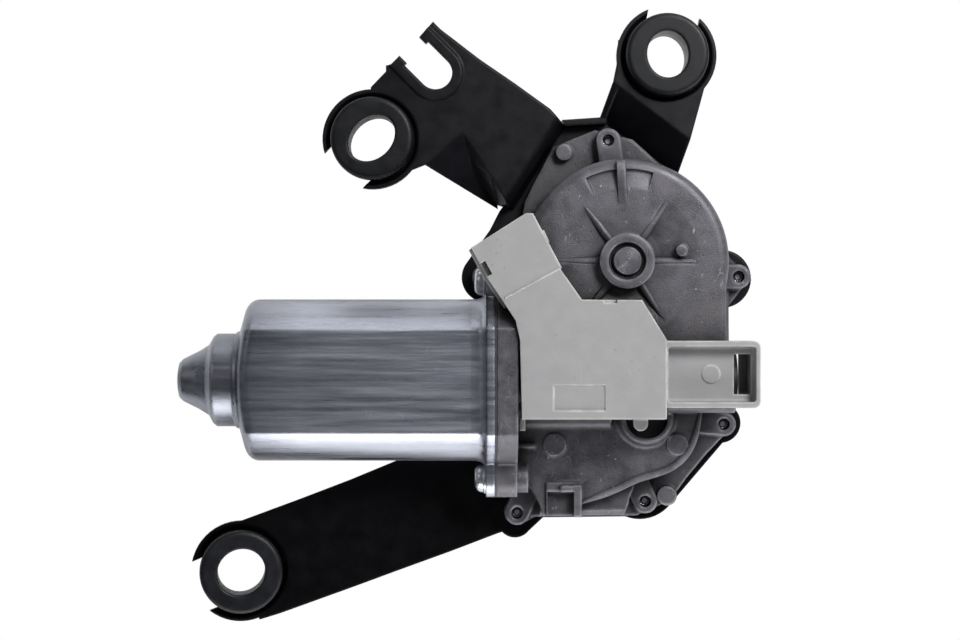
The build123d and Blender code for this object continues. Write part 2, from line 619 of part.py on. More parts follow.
with BuildPart() as gear_housing:
    with BuildSketch(Plane.XY.offset(JOINT_Z)):
        add(plan(SHELF))
    extrude(amount=SHELF_Z - JOINT_Z)
    with BuildSketch(Plane.XY.offset(JOINT_Z)):
        for skirt in SKIRTS:
            add(plan(skirt))
        with Locations(*EARS):
            Circle(EAR_R + 0.3)
    extrude(amount=FLANGE_TOP - JOINT_Z)
    add(floor_block.part)
    add(band.part)
    # ear pocket in the ridge, then the ears with their webs
    with Locations((*EARS[3], EAR_TOP)):
        Cylinder(EAR_POCKET, FLOOR_Z, align=SIT, mode=Mode.SUBTRACT)
    with BuildSketch(Plane.XY.offset(JOINT_Z)):
        for ear, root in zip(EARS, EAR_ROOTS):
            with BuildLine():
                Line(ear, root)
            trace(line_width=2 * EAR_R)
        with Locations(*EARS):
            Circle(EAR_R)
    extrude(amount=EAR_TOP - JOINT_Z)
    add(block.part)
    add(drum.part)
    # drafted wall and cove below the worm tunnel
    with BuildSketch(Plane.YZ.offset(FLANGE_BACK)):
        with BuildLine():
            Polyline((-4.4, FLOOR_Z - 1), (6.0, FLOOR_Z - 1), (6.0, ROOF_Z - 0.6), (2.0, ROOF_Z - 0.6),
                     (-1.2, FLOOR_Z + 2.6))
            ThreePointArc((-1.2, FLOOR_Z + 2.6), (-2.3, FLOOR_Z + 0.7), (-4.4, FLOOR_Z))
            Line((-4.4, FLOOR_Z), (-4.4, FLOOR_Z - 1))
        make_face()
    extrude(amount=-11.0 - FLANGE_BACK)
    # collar of the output bore
    with BuildSketch(Plane.XZ):
        with BuildLine():
            Polyline((WELL_R - 1, FLOOR_Z - 1), (WELL_R - 1, WELL_RIM), (WELL_R + 1.0, WELL_RIM),
                     (WELL_R + 1.7, WELL_RIM - 0.5), (WELL_R + 2.1, FLOOR_Z + 1.2), (WELL_R + 3.0, FLOOR_Z),
                     (WELL_R + 3.0, FLOOR_Z - 1), close=True)
        make_face()
    revolve(axis=Axis.Z)
    with Locations((0, 0, WELL_FLOOR)):
        Cylinder(WELL_R, WELL_RIM, align=SIT, mode=Mode.SUBTRACT)
    # worm tunnel and motor flange
    with Locations(motor_plane(HOUSING_FACE).location):
        Cylinder(TUNNEL_R, TUNNEL_END - HOUSING_FACE, align=SIT)
    with BuildSketch(motor_plane(HOUSING_FACE)):
        add(eared_section(FLANGE_GROW))
    extrude(amount=HOUSING_FLANGE_T)
    with BuildSketch(motor_plane(FLANGE_BACK)):
        with Locations((SCREW_DY, 0), (-SCREW_DY, 0)):
            Circle(CAN_SCREW_R + 1.9)
    extrude(amount=3.4)
    # roof scoops between the three spokes, pocket and rib at the top
    for start, span, depth in SCOOPS:
        with BuildSketch(spoke_plane(start)):
            with BuildLine():
                Polyline((1.0, ROOF_Z + 1), (1.0, ROOF_Z - depth), (BOSS_R + 2.5, ROOF_Z - depth),
                         (SCOOP_R, ROOF_Z), (SCOOP_R, ROOF_Z + 1), close=True)
            make_face()
        revolve(axis=WHEEL_AXIS, revolution_arc=span, mode=Mode.SUBTRACT)
    with BuildSketch(spoke_plane(POCKET_START)):
        with BuildLine():
            Polyline((POCKET_IN, ROOF_Z + 0.1), (POCKET_OUT, ROOF_Z - POCKET_DEPTH), (POCKET_OUT, ROOF_Z + 1),
                     (POCKET_IN, ROOF_Z + 1), close=True)
        make_face()
    revolve(axis=WHEEL_AXIS, revolution_arc=POCKET_SPAN, mode=Mode.SUBTRACT)
    with BuildSketch(spoke_plane(RIB_ANGLE)):
        with BuildLine():
            Polyline((RIB_IN, ROOF_Z - 1.2), (RIB_IN, ROOF_Z + 0.05), (RIB_OUT - 2.9, ROOF_Z + RIB_RISE),
                     (RIB_OUT - 0.9, ROOF_Z + RIB_RISE - 0.2), (RIB_OUT, ROOF_Z + RIB_RISE / 2),
                     (RIB_OUT, ROOF_Z - 1.2), close=True)
        make_face()
    extrude(amount=RIB_W / 2, both=True)
    # axle boss, connector seats, studs and flow marks
    with Locations(wheel_plane(ROOF_IN - 0.9).location):
        Cylinder(BOSS_R, BOSS_TOP - ROOF_IN + 0.9, align=SIT)
    with Locations((9.9, 51.6, ROOF_IN + 0.5)):
        Cylinder(1.8, WALL + 1.6, align=SIT)
    for x, y in SEAT_PADS:
        with Locations((x, y, ROOF_IN + 0.5)):
            Cylinder(4.0, CONN_Z - ROOF_IN - 0.5, align=SIT)
    for x, y, r, top in STUDS:
        with Locations((x, y, JOINT_Z)):
            Cylinder(r, top - JOINT_Z, align=SIT)
    for x, y, r in MARKS:
        with Locations((x, y, FLOOR_IN + 1)):
            Cylinder(r, WALL - 0.6, align=SIT)
    # square socket, short rib and post beside the flange
    with BuildSketch(Plane.XY.offset(FLOOR_Z - 1)):
        with Locations((-25.6, -25.6)):
            Rectangle(11.0, 10.8)
        with Locations((-37.5, -8.9)):
            Rectangle(6.0, 1.5)
        with Locations((-39.4, -17.5)):
            Rectangle(2.2, 4.6)
    extrude(amount=2.2)
    with BuildSketch(Plane.XY.offset(FLOOR_Z)):
        with Locations((-21.4, -25.9)):
            Rectangle(2.4, 10.0)
        with Locations((-23.5, -22.1)):
            Rectangle(6.6, 2.0)
    extrude(amount=3.4)
    with BuildSketch(Plane.XY.offset(FLOOR_Z + 3)):
        with Locations((-26.7, -27.2)):
            Rectangle(8.2, 8.0)
    extrude(amount=-4.0, mode=Mode.SUBTRACT)
    # inside: wheel chamber, linkage space, worm bore, bearing bores
    with Locations(wheel_plane(0).location):
        Cylinder(CHAMBER_R, ROOF_IN, align=SIT, mode=Mode.SUBTRACT)
    for outline, roof in ((CAVITY, FLOOR_IN), (BAND_CAVITY, BAND_IN), (BLOCK_CAVITY, BAND_IN)):
        with BuildSketch(Plane.XY):
            add(plan(outline))
        extrude(amount=roof, mode=Mode.SUBTRACT)
    with Locations(motor_plane(HOUSING_FACE).location):
        Cylinder(BORE_R, BORE_END - HOUSING_FACE, align=SIT, mode=Mode.SUBTRACT)
        Cylinder(DRIVE_BUSH_R + FIT, DRIVE_BUSH_LEN, align=SIT, mode=Mode.SUBTRACT)
        with Locations((SCREW_DY, 0, 0), (-SCREW_DY, 0, 0)):
            Cylinder(CAN_SCREW_R + FIT, CAN_SCREW_LEN - CAN_FLANGE_T - PLUG_T + 0.5, align=SIT,
                     mode=Mode.SUBTRACT)
    # solid core that carries the axle, left standing in the chamber roof
    with Locations(wheel_plane(ROOF_IN - 0.9).location):
        Cylinder(BOSS_R, 1.5, align=SIT)
        Cylinder(AXLE_R + FIT, BOSS_TOP, align=SIT, mode=Mode.SUBTRACT)
    with Locations(wheel_plane(BOSS_TOP).location):
        Cylinder(BOSS_BORE, 1.6, align=HANG, mode=Mode.SUBTRACT)
    with Locations(*[(x, y, 0) for x, y in EARS]):
        Cylinder(SCREW_R + FIT, EAR_TOP + 1, align=SIT, mode=Mode.SUBTRACT)

# Worm wheel with skewed teeth, hub and web
GAP_SKEW = LEAD / (2 * math.pi * WORM_PITCH_R)
CUT_START = WHEEL_BOTTOM - 0.5
gap_half_top = GAP_W / 2 + (WHEEL_TIP_R + GAP - WHEEL_PITCH_R) * FLANK
gap_half_root = GAP_W / 2 - (WHEEL_PITCH_R - WHEEL_ROOT_R) * FLANK
gap_shift = -GAP_SKEW * (AXIS_Z - CUT_START)
gap_face = Face(Wire.make_polygon([
    Vector(WHEEL_ROOT_R, gap_shift - gap_half_root, CUT_START),
    Vector(WHEEL_TIP_R + GAP, gap_shift - gap_half_top, CUT_START),
    Vector(WHEEL_TIP_R + GAP, gap_shift + gap_half_top, CUT_START),
    Vector(WHEEL_ROOT_R, gap_shift + gap_half_root, CUT_START)], close=True))
gap_tool = extrude(gap_face, amount=WHEEL_W + 1.5, dir=(0, GAP_SKEW, 1))

with BuildPart() as worm_wheel:
    with BuildSketch(wheel_plane(WHEEL_BOTTOM)):
        Circle(WHEEL_TIP_R)
    extrude(amount=WHEEL_W)
    with BuildSketch(wheel_plane(WHEEL_BOTTOM)):
        Circle(WHEEL_ROOT_R - 2.5)
        Circle(CRANK_THROW + CRANK_R + 2.5, mode=Mode.SUBTRACT)
    extrude(amount=WEB_DROP, mode=Mode.SUBTRACT)
    with Locations(wheel_plane(WHEEL_BOTTOM - HUB_DROP).location):
        Cylinder(AXLE_HEAD_R + 0.1, HUB_DROP, align=SIT)
    with Locations(wheel_plane(WHEEL_TOP).location):
        Cylinder(HUB_R, 0.8, align=SIT)
    with Locations(wheel_plane(WHEEL_BOTTOM - 1).location):
        Cylinder(AXLE_R + RUN, WHEEL_W + 4, align=SIT, mode=Mode.SUBTRACT)
    with Locations((WHEEL_X, WHEEL_Y)):
        with PolarLocations(0, WHEEL_TEETH, start_angle=-90):
            add(gap_tool, mode=Mode.SUBTRACT)
    with Locations((*CRANK, WHEEL_BOTTOM - 1)):
        Cylinder(CRANK_R + FIT, 6.0, align=SIT, mode=Mode.SUBTRACT)

AXLE_BOTTOM = WHEEL_BOTTOM - HUB_DROP - GAP - 1.7
with BuildPart() as wheel_axle:
    with Locations(wheel_plane(AXLE_BOTTOM).location):
        Cylinder(AXLE_HEAD_R, 1.7, align=SIT)
        Cylinder(AXLE_R, BOSS_TOP - 0.4 - AXLE_BOTTOM, align=SIT)
    chamfer(wheel_axle.edges().group_by(Axis.Z)[-1], 0.5)

with BuildPart() as crank_pin:
    with Locations((*CRANK, GEAR_TOP + GAP)):
        Cylinder(CRANK_R, WHEEL_BOTTOM + 4.9 - GEAR_TOP - GAP, align=SIT)
    with Locations((*CRANK, WHEEL_BOTTOM)):
        Cylinder(CRANK_R + 0.2, 3.3, align=HANG)

with BuildPart() as park_disc:
    with BuildSketch(wheel_plane(WHEEL_TOP)):
        Circle(DISC_OUT)
        Circle(DISC_IN, mode=Mode.SUBTRACT)
        with Locations((DISC_OUT - 3, 0)):
            Rectangle(8, 9, mode=Mode.SUBTRACT)
    extrude(amount=DISC_T)

FINGER_Z = WHEEL_TOP + DISC_T + 0.35
with BuildPart() as park_fingers:
    for k, reach in enumerate((1.8, 4.4, 7.2)):
        x = WHEEL_X + (k - 1) * 1.7 * FINGER_W
        y = WHEEL_Y - DISC_IN - reach
        with BuildSketch(Plane.XY.offset(FINGER_Z)):
            with Locations((x, y - 2.2)):
                Rectangle(FINGER_W, 7.0)
        extrude(amount=FINGER_T)
        with BuildSketch(Plane.XY.offset(FINGER_Z)):
            with Locations((x, y - 5.2)):
                Rectangle(FINGER_W, 1.0)
        extrude(amount=ROOF_IN - FINGER_Z)

# Output shaft with pinion, rocker, toothed link
with BuildPart() as output_shaft:
    with BuildSketch(Plane.XZ):
        with BuildLine():
            Polyline((0, SHAFT_TOP), (OUT_R - OUT_STEP, SHAFT_TOP), (OUT_R, SHAFT_TOP - OUT_STEP),
                     (OUT_R, RING_Z + RING_T + 1.3), (OUT_R - OUT_STEP, RING_Z + RING_T + 0.1),
                     (OUT_R - OUT_STEP, RING_Z), (OUT_R, RING_Z - 0.2), (OUT_R, SERRATION_END),
                     (THREAD_R + 1.0, TAPER_END), (THREAD_R, TAPER_END - 0.6), (THREAD_R, SHAFT_TIP + 0.8),
                     (THREAD_R - 0.8, SHAFT_TIP), (0, SHAFT_TIP), close=True)
        make_face()
    revolve(axis=Axis.Z)

pinion_teeth = involute_gear(PINION_TEETH, MODULE, 0.5, 0, PINION_TEETH - 1, OUT_R + 0.5)
with BuildPart() as output_pinion:
    with BuildSketch(Plane.XY.offset(GEAR_BOTTOM)):
        add(pinion_teeth, rotation=ROCKER_ANGLE + 180 / PINION_TEETH)
        Circle(OUT_R + 0.02, mode=Mode.SUBTRACT)
    extrude(amount=GEAR_T)

with BuildPart() as rocker_plate:
    with BuildSketch(Plane.XY.offset(ROCKER_Z)):
        with BuildLine():
            Line((0, 0), ROCKER_PIN)
        trace(line_width=14)
        Circle(OUT_R + 3.0)
        with Locations(ROCKER_PIN):
            Circle(ROCKER_PIN_R + 4.5)
            Circle(ROCKER_PIN_R + 0.02, mode=Mode.SUBTRACT)
        Circle(OUT_R + RUN, mode=Mode.SUBTRACT)
    extrude(amount=ROCKER_T)

with BuildPart() as rocker_pin:
    with Locations((*ROCKER_PIN, ROCKER_Z - 0.4)):
        Cylinder(ROCKER_PIN_R, SHAFT_TOP - ROCKER_Z + 0.4, align=SIT)

sector_teeth = involute_gear(SECTOR_TEETH, MODULE, 0.5, -2, 2, ROCKER_PIN_R + 5.0)
with BuildPart() as toothed_link:
    with BuildSketch(Plane.XY.offset(GEAR_BOTTOM)):
        with Locations(ROCKER_PIN):
            add(sector_teeth, rotation=ROCKER_ANGLE - 180)
        with BuildLine():
            Line(ROCKER_PIN, CRANK)
        trace(line_width=LINK_W)
        with Locations(CRANK):
            Circle(EYE_R)
            Circle(CRANK_R + RUN, mode=Mode.SUBTRACT)
        with Locations(ROCKER_PIN):
            Circle(ROCKER_PIN_R + RUN, mode=Mode.SUBTRACT)
    extrude(amount=GEAR_T)

# Spindle tube with a spigot in the plate and a flange inside it, bushes, seal, washer, ring
with BuildPart() as spindle_tube:
    with Locations((0, 0, TUBE_END)):
        Cylinder(TUBE_R, -TUBE_END, align=SIT)
    Cylinder(SPIGOT_R, PLATE_T, align=SIT)
    with Locations((0, 0, PLATE_T)):
        Cylinder(COLLAR_R, COLLAR_T, align=SIT)
    with Locations((0, 0, TUBE_END)):
        Cylinder(OUT_BUSH_R + FIT, PLATE_T + COLLAR_T - TUBE_END, align=SIT, mode=Mode.SUBTRACT)
    chamfer(spindle_tube.edges().filter_by(GeomType.CIRCLE).group_by(Axis.Z)[0], 0.6)

with BuildPart() as shaft_bushes:
    for start in BUSH_STARTS:
        with Locations((0, 0, start)):
            Cylinder(OUT_BUSH_R, OUT_BUSH_LEN, align=SIT)
            Cylinder(OUT_R + RUN, OUT_BUSH_LEN, align=SIT, mode=Mode.SUBTRACT)

with BuildPart() as thrust_washer:
    with Locations((0, 0, PLATE_T + COLLAR_T)):
        Cylinder(OUT_R + 3.0, 0.5, align=SIT)
        Cylinder(OUT_R + 0.1, 0.5, align=SIT, mode=Mode.SUBTRACT)

with BuildPart() as shaft_ring:
    with BuildSketch(Plane.XY.offset(RING_Z)):
        Circle(OUT_R + 2.6)
        Circle(OUT_R - OUT_STEP, mode=Mode.SUBTRACT)
        with Locations((OUT_R + 2, 0)):
            Rectangle(8, 5, mode=Mode.SUBTRACT)
    extrude(amount=RING_T)

with BuildPart() as spindle_seal:
    with Locations((0, 0, TUBE_END)):
        Cylinder(TUBE_R - 0.8, SEAL_T, align=HANG)
        Cylinder(OUT_R + 0.1, SEAL_T, align=HANG, mode=Mode.SUBTRACT)

# Mounting bracket
PAD_UL = [(-66.7, 124.8), (-64.2, 122.3), (-61.3, 120.1), (-51.8, 112.8), (-40.7, 105.2), (-29.6, 97.2),
          (-26.4, 93.7), (-43.0, 67.0), (-48.6, 76.3), (-53.4, 84.2), (-57.5, 89.9), (-69.2, 79.5),
          (-78.0, 76.0), (-86.0, 88.0), (-86.4, 104.0), (-81.6, 109.0), (-81.6, 110.9), (-80.0, 111.2),
          (-77.5, 113.7), (-71.0, 119.8)]
PAD_UR = [(-9.6, 105.8), (14.8, 87.4), (18.0, 99.1), (19.3, 103.9), (20.5, 106.0), (7.3, 114.0),
          (-8.0, 119.0), (-8.2, 114.0), (-8.5, 111.2)]
FOLD_A, FOLD_B = (-26.4, 93.7), (-43.0, 67.0)
FOOT_A, FOOT_B = (-24.5, 92.5), (-41.1, 65.8)
HINGE_A, HINGE_B = (-69.2, 79.5), (-57.5, 89.9)
VALLEY = [(-55.0, 80.6), (-46.2, 67.3)]
RAMP_END = (-46.0, 66.0)
RAMP_UL = [HINGE_A, HINGE_B, VALLEY[0], VALLEY[1], RAMP_END, (-67.0, 78.2)]
CREST = [(-57.5, 89.9), (-53.4, 84.2), (-48.6, 76.3), (-43.0, 67.0)]
UR_A, UR_B = (-9.6, 105.8), (14.8, 87.4)
UR_FOOT_A, UR_FOOT_B = (-13.2, 94.8), (11.9, 77.6)
EDGE_A, EDGE_B = (-25.6, 94.2), (-13.4, 95.0)
ARM_LOW, ARM_HIGH = (-46.5, -38.5), (-56.2, -6.1)
ARM_LL = [ARM_LOW, ARM_HIGH, (-77.4, -14.3), (-93.4, -20.8), (-109.4, -26.8), (-127.6, -33.4),
          (-127.4, -49.2), (-121.6, -64.6), (-115.4, -62.8), (-93.4, -55.2), (-77.6, -49.6), (-61.5, -44.0)]


def ramp_level(p):
    return fold_height(p, HINGE_A, HINGE_B, RAMP_END, PAD_Z, PAD_Z - PLATE_T)


RISE = PAD_Z - PLATE_T
ramp_ul = sloped(RAMP_UL, HINGE_A, HINGE_B, RAMP_END, PAD_Z, RISE, PLATE_T)
wall_ul = sloped([FOLD_A, FOLD_B, FOOT_B, FOOT_A], FOLD_A, FOLD_B, FOOT_B, PAD_Z, RISE, 2.5 * PLATE_T)
low_0 = (*VALLEY[0], ramp_level(VALLEY[0]))
low_1 = (*VALLEY[1], ramp_level(VALLEY[1]))
foot = (*FOOT_B, PLATE_T)
valley_tris = [
    [(*CREST[0], PAD_Z), (*CREST[1], PAD_Z), low_0],
    [low_0, (*CREST[1], PAD_Z), (*CREST[2], PAD_Z)],
    [low_0, (*CREST[2], PAD_Z), low_1],
    [(*CREST[2], PAD_Z), (*CREST[3], PAD_Z), low_1],
    [(*CREST[3], PAD_Z), foot, low_1],
]
valley_ul = [facet(t, 2 * PLATE_T) for t in valley_tris]
ramp_ur = sloped([UR_A, UR_B, UR_FOOT_B, UR_FOOT_A], UR_A, UR_B, UR_FOOT_A, PAD_Z, RISE, PLATE_T)
UR_IN = (UR_A[0] + PLATE_T, UR_A[1] - 1.2)
edge_wall_ur = sloped([EDGE_B, (EDGE_B[0] + PLATE_T, EDGE_B[1]), UR_IN, UR_A], UR_A, UR_IN, EDGE_B,
                      PAD_Z, PAD_Z - EDGE_WALL, 2.5 * PLATE_T)
arm_fall = -math.tan(math.radians(ARM_TILT)) * 100.0
arm_far = (ARM_LOW[0] + ARM_DIR[0] * 100.0, ARM_LOW[1] + ARM_DIR[1] * 100.0)
arm_ll = sloped(ARM_LL, ARM_LOW, ARM_HIGH, arm_far, PLATE_T, arm_fall, PLATE_T)
ll_top = fold_height(MOUNT_LL, ARM_LOW, ARM_HIGH, arm_far, PLATE_T, arm_fall)
tilt = math.radians(ARM_TILT)
arm_len = math.hypot(*ARM_DIR)
LL_UP = (-ARM_DIR[0] / arm_len * math.sin(tilt), -ARM_DIR[1] / arm_len * math.sin(tilt), math.cos(tilt))
LL_PLANE = Plane(origin=(*MOUNT_LL, ll_top), x_dir=(1, 0, -LL_UP[0] / LL_UP[2]), z_dir=LL_UP)
UL_PLANE = Plane(origin=(*MOUNT_UL, PAD_Z), x_dir=(1, 0, 0), z_dir=(0, 0, 1))
UR_PLANE = Plane(origin=(*MOUNT_UR, PAD_Z), x_dir=(1, 0, 0), z_dir=(0, 0, 1))
CUPS = [(UL_PLANE, OPEN_UL), (UR_PLANE, OPEN_UR), (LL_PLANE, OPEN_LL)]
LOBE = [(-56.6, 48.0), (-57.6, 42.6), (-50.5, 36.0)]

with BuildPart() as mounting_bracket:
    with BuildSketch(Plane.XY):
        with BuildLine():
            Polyline((11.9, 77.6), (-13.2, 94.9), (-24.8, 94.0), (-45.6, 65.2), (-48.6, 59.3), LOBE[0])
            ThreePointArc(*LOBE)
            Polyline(LOBE[2], (-50.5, -2.0), ARM_HIGH, ARM_LOW, (-44.7, -37.9))
            ThreePointArc((-44.7, -37.9), (-40.5, -39.7), (-36.2, -37.6))
            Polyline((-36.2, -37.6), (-31.5, -33.2), (-5.1, -32.9))
            ThreePointArc((-5.1, -32.9), (2.6, -33.4), (9.5, -28.9))
            Polyline((9.5, -28.9), (26.3, -9.2))
            ThreePointArc((26.3, -9.2), (32.0, -3.4), (28.4, 3.0))
            Polyline((28.4, 3.0), (28.2, 34.4))
            ThreePointArc((28.2, 34.4), (35.4, 43.2), (27.3, 52.8))
            ThreePointArc((27.3, 52.8), (22.9, 65.7), (11.9, 77.6))
        make_face()
    extrude(amount=PLATE_T)
    with BuildSketch(Plane.XY.offset(PAD_Z - PLATE_T)):
        add(plan(PAD_UL))
        add(plan(PAD_UR))
    extrude(amount=PLATE_T)
    with BuildSketch(Plane.XY.offset(PAD_Z - 0.5)):
        add(plan(PAD_UL))
        with Locations(Location((SLOT_C[0], SLOT_C[1], 0), SLOT_DIR)):
            with Locations((SLOT_LEN / 2, 0)):
                SlotCenterToCenter(SLOT_LEN, 2 * SLOT_RIM, mode=Mode.INTERSECT)
    extrude(amount=RIM_RISE + 0.5)
    add(ramp_ul)
    add(wall_ul)
    add(valley_ul)
    add(ramp_ur)
    add(edge_wall_ur)
    add(arm_ll)
    # upturned edge between the two upper arms
    with BuildSketch(Plane.XY):
        with BuildLine():
            Polyline(EDGE_A, EDGE_B, (EDGE_B[0] + PLATE_T, EDGE_B[1]),
                     (EDGE_B[0] + PLATE_T, EDGE_B[1] - PLATE_T), (EDGE_A[0] + 1, EDGE_A[1] - PLATE_T),
                     close=True)
        make_face()
    extrude(amount=EDGE_WALL)
    fold_mid = Vector((FOLD_A[0] + FOLD_B[0]) / 2, (FOLD_A[1] + FOLD_B[1]) / 2, PAD_Z)
    fillet(mounting_bracket.edges().sort_by_distance(fold_mid)[0], radius=BEND_R)
    for cup_plane, opening in CUPS:
        with Locations(cup_plane.location):
            Cylinder(CUP_OUT, SEAT_DROP + PLATE_T, align=HANG)
    for cup_plane, opening in CUPS:
        with BuildSketch(cup_plane):
            Circle(CUP_IN + CUP_BEVEL)
        extrude(amount=-CUP_BEVEL, taper=45, mode=Mode.SUBTRACT)
        with Locations(cup_plane.offset(-SEAT_DROP).location):
            Cylinder(CUP_IN, SEAT_DROP + 2, align=SIT, mode=Mode.SUBTRACT)
        with BuildSketch(cup_plane.offset(-SEAT_DROP - PLATE_T - 1)):
            Circle(NECK_R + FIT)
            with Locations(Location((0, 0, 0), opening)):
                with Locations((12, 0)):
                    Rectangle(24, ENTRY_W)
        extrude(amount=SEAT_DROP + PLATE_T + 4, mode=Mode.SUBTRACT)
    with BuildSketch(Plane.XY.offset(PAD_Z - PLATE_T - 1)):
        with Locations(Location((SLOT_C[0], SLOT_C[1], 0), SLOT_DIR)):
            Circle(SLOT_R)
            with Locations((SLOT_STRAIGHT / 2, 0)):
                Rectangle(SLOT_STRAIGHT, 2 * SLOT_R)
            with Locations((SLOT_LEN - 4, 0)):
                Rectangle(10, 2 * SLOT_MOUTH)
    extrude(amount=PLATE_T + 3, mode=Mode.SUBTRACT)
    Cylinder(SPIGOT_R + FIT, PLATE_T, align=SIT, mode=Mode.SUBTRACT)
    with Locations(*[(x, y, 0) for x, y in EARS]):
        Cylinder(SCREW_R + GAP, PLATE_T, align=SIT, mode=Mode.SUBTRACT)
    split(bisect_by=Plane.XY, keep=Keep.TOP)


def rubber_mount(cup_plane, hole):
    """Rubber mount with a neck in the cup and an oval hole."""
    low = -SEAT_DROP - PLATE_T
    with BuildPart(mode=Mode.PRIVATE) as rubber:
        with Locations(cup_plane.offset(-SEAT_DROP).location):
            Cylinder(FLANGE_R, FLANGE_T, align=SIT)
        with Locations(cup_plane.offset(low).location):
            Cylinder(NECK_R, PLATE_T, align=SIT)
            Cylinder(FLANGE_R - 0.6, FLANGE_T, align=HANG)
        rims = rubber.edges().filter_by(GeomType.CIRCLE).group_by(SortBy.RADIUS)
        fillet(rims[-1] + rims[-2], FLANGE_ROUND)
        with BuildSketch(cup_plane.offset(low - FLANGE_T)):
            with Locations(Location((0, 0, 0), hole[2])):
                Ellipse(hole[0], hole[1])
        extrude(amount=SEAT_DROP + PLATE_T + 2 * FLANGE_T, mode=Mode.SUBTRACT)
    return rubber.part


with BuildPart() as rubber_mount_ul:
    add(rubber_mount(UL_PLANE, HOLE_UL))
with BuildPart() as rubber_mount_ur:
    add(rubber_mount(UR_PLANE, HOLE_UR))
with BuildPart() as rubber_mount_ll:
    add(rubber_mount(LL_PLANE, HOLE_LL))

# Gasket between the housing and the bracket
with BuildPart() as housing_gasket:
    with BuildSketch(Plane.XY.offset(PLATE_T)):
        with Locations((WHEEL_X, WHEEL_Y)):
            Circle(DRUM_R)
        add(plan(SHELF))
        for ear, root in zip(EARS, EAR_ROOTS):
            with BuildLine():
                Line(ear, root)
            trace(line_width=2 * EAR_R - 0.4)
        with Locations((WHEEL_X, WHEEL_Y)):
            Circle(CHAMBER_R, mode=Mode.SUBTRACT)
        for outline in (CAVITY, BAND_CAVITY, BLOCK_CAVITY):
            add(plan(outline), mode=Mode.SUBTRACT)
        with Locations(*EARS):
            Circle(EAR_R - 0.2)
        with Locations(*EARS):
            Circle(SCREW_R + GAP, mode=Mode.SUBTRACT)
    extrude(amount=GASKET_T)

# Cover screws, six of one kind, driven from the outer side
with BuildPart() as cover_screws:
    with Locations(*[(x, y, 0) for x, y in EARS]):
        Cylinder(3.8, 2.4, align=HANG)
        Cylinder(SCREW_R, SCREW_TIP, align=SIT)
    with BuildSketch(Plane.XY.offset(-2.4)):
        with Locations(*EARS):
            RegularPolygon(1.9, 6)
    extrude(amount=1.5, mode=Mode.SUBTRACT)

# Connector: base shell with the slotted tongue, cover shell, terminals
step_dir = (math.cos(math.radians(MOUTH_ANGLE - 90)), math.sin(math.radians(MOUTH_ANGLE - 90)))
CORNERS = [(4.1, FOOT_Y), (-39.2, FOOT_Y)]
BASE_OUT = LEFT_SIDE + RIGHT_SIDE + CORNERS
COVER_OUT = [LEFT_SIDE[0]] + [(x + CONN_STEP * step_dir[0], y + CONN_STEP * step_dir[1])
                              for x, y in LEFT_SIDE[1:]] + RIGHT_SIDE + [(x, y + 0.5) for x, y in CORNERS]
SOCKET_TOP = [COVER_OUT[2], COVER_OUT[3], COVER_OUT[4], *RIGHT_SIDE[:2], STEP_LINE[1], STEP_LINE[0]]
mouth_place = Location((MOUTH[0], MOUTH[1], 0), MOUTH_ANGLE)


def shell_plan(points, inset):
    """Connector outline moved inwards by the wall."""
    with BuildSketch(mode=Mode.PRIVATE) as outline:
        add(plan(points))
        offset(amount=-inset)
    return outline.sketch


CONN_INNER = shell_plan(COVER_OUT, CONN_WALL)
flange_room = eared_section(FLANGE_GROW + 0.5)

with BuildPart() as tongue_hollow:
    with BuildSketch(Plane.XY.offset(TONGUE_FLOOR)):
        with BuildLine():
            Polyline((4.9, TONGUE_LOW + 1.7), (31.5, TONGUE_LOW + 1.7), (31.5, TONGUE_HIGH - 1.7),
                     (4.9, TONGUE_HIGH - 1.7), close=True)
        make_face()
    extrude(amount=TONGUE_TOP)
    fillet(tongue_hollow.edges().filter_by(Axis.Z), 1.0)
    fillet(tongue_hollow.faces().sort_by(Axis.Z)[0].edges(), 0.9)

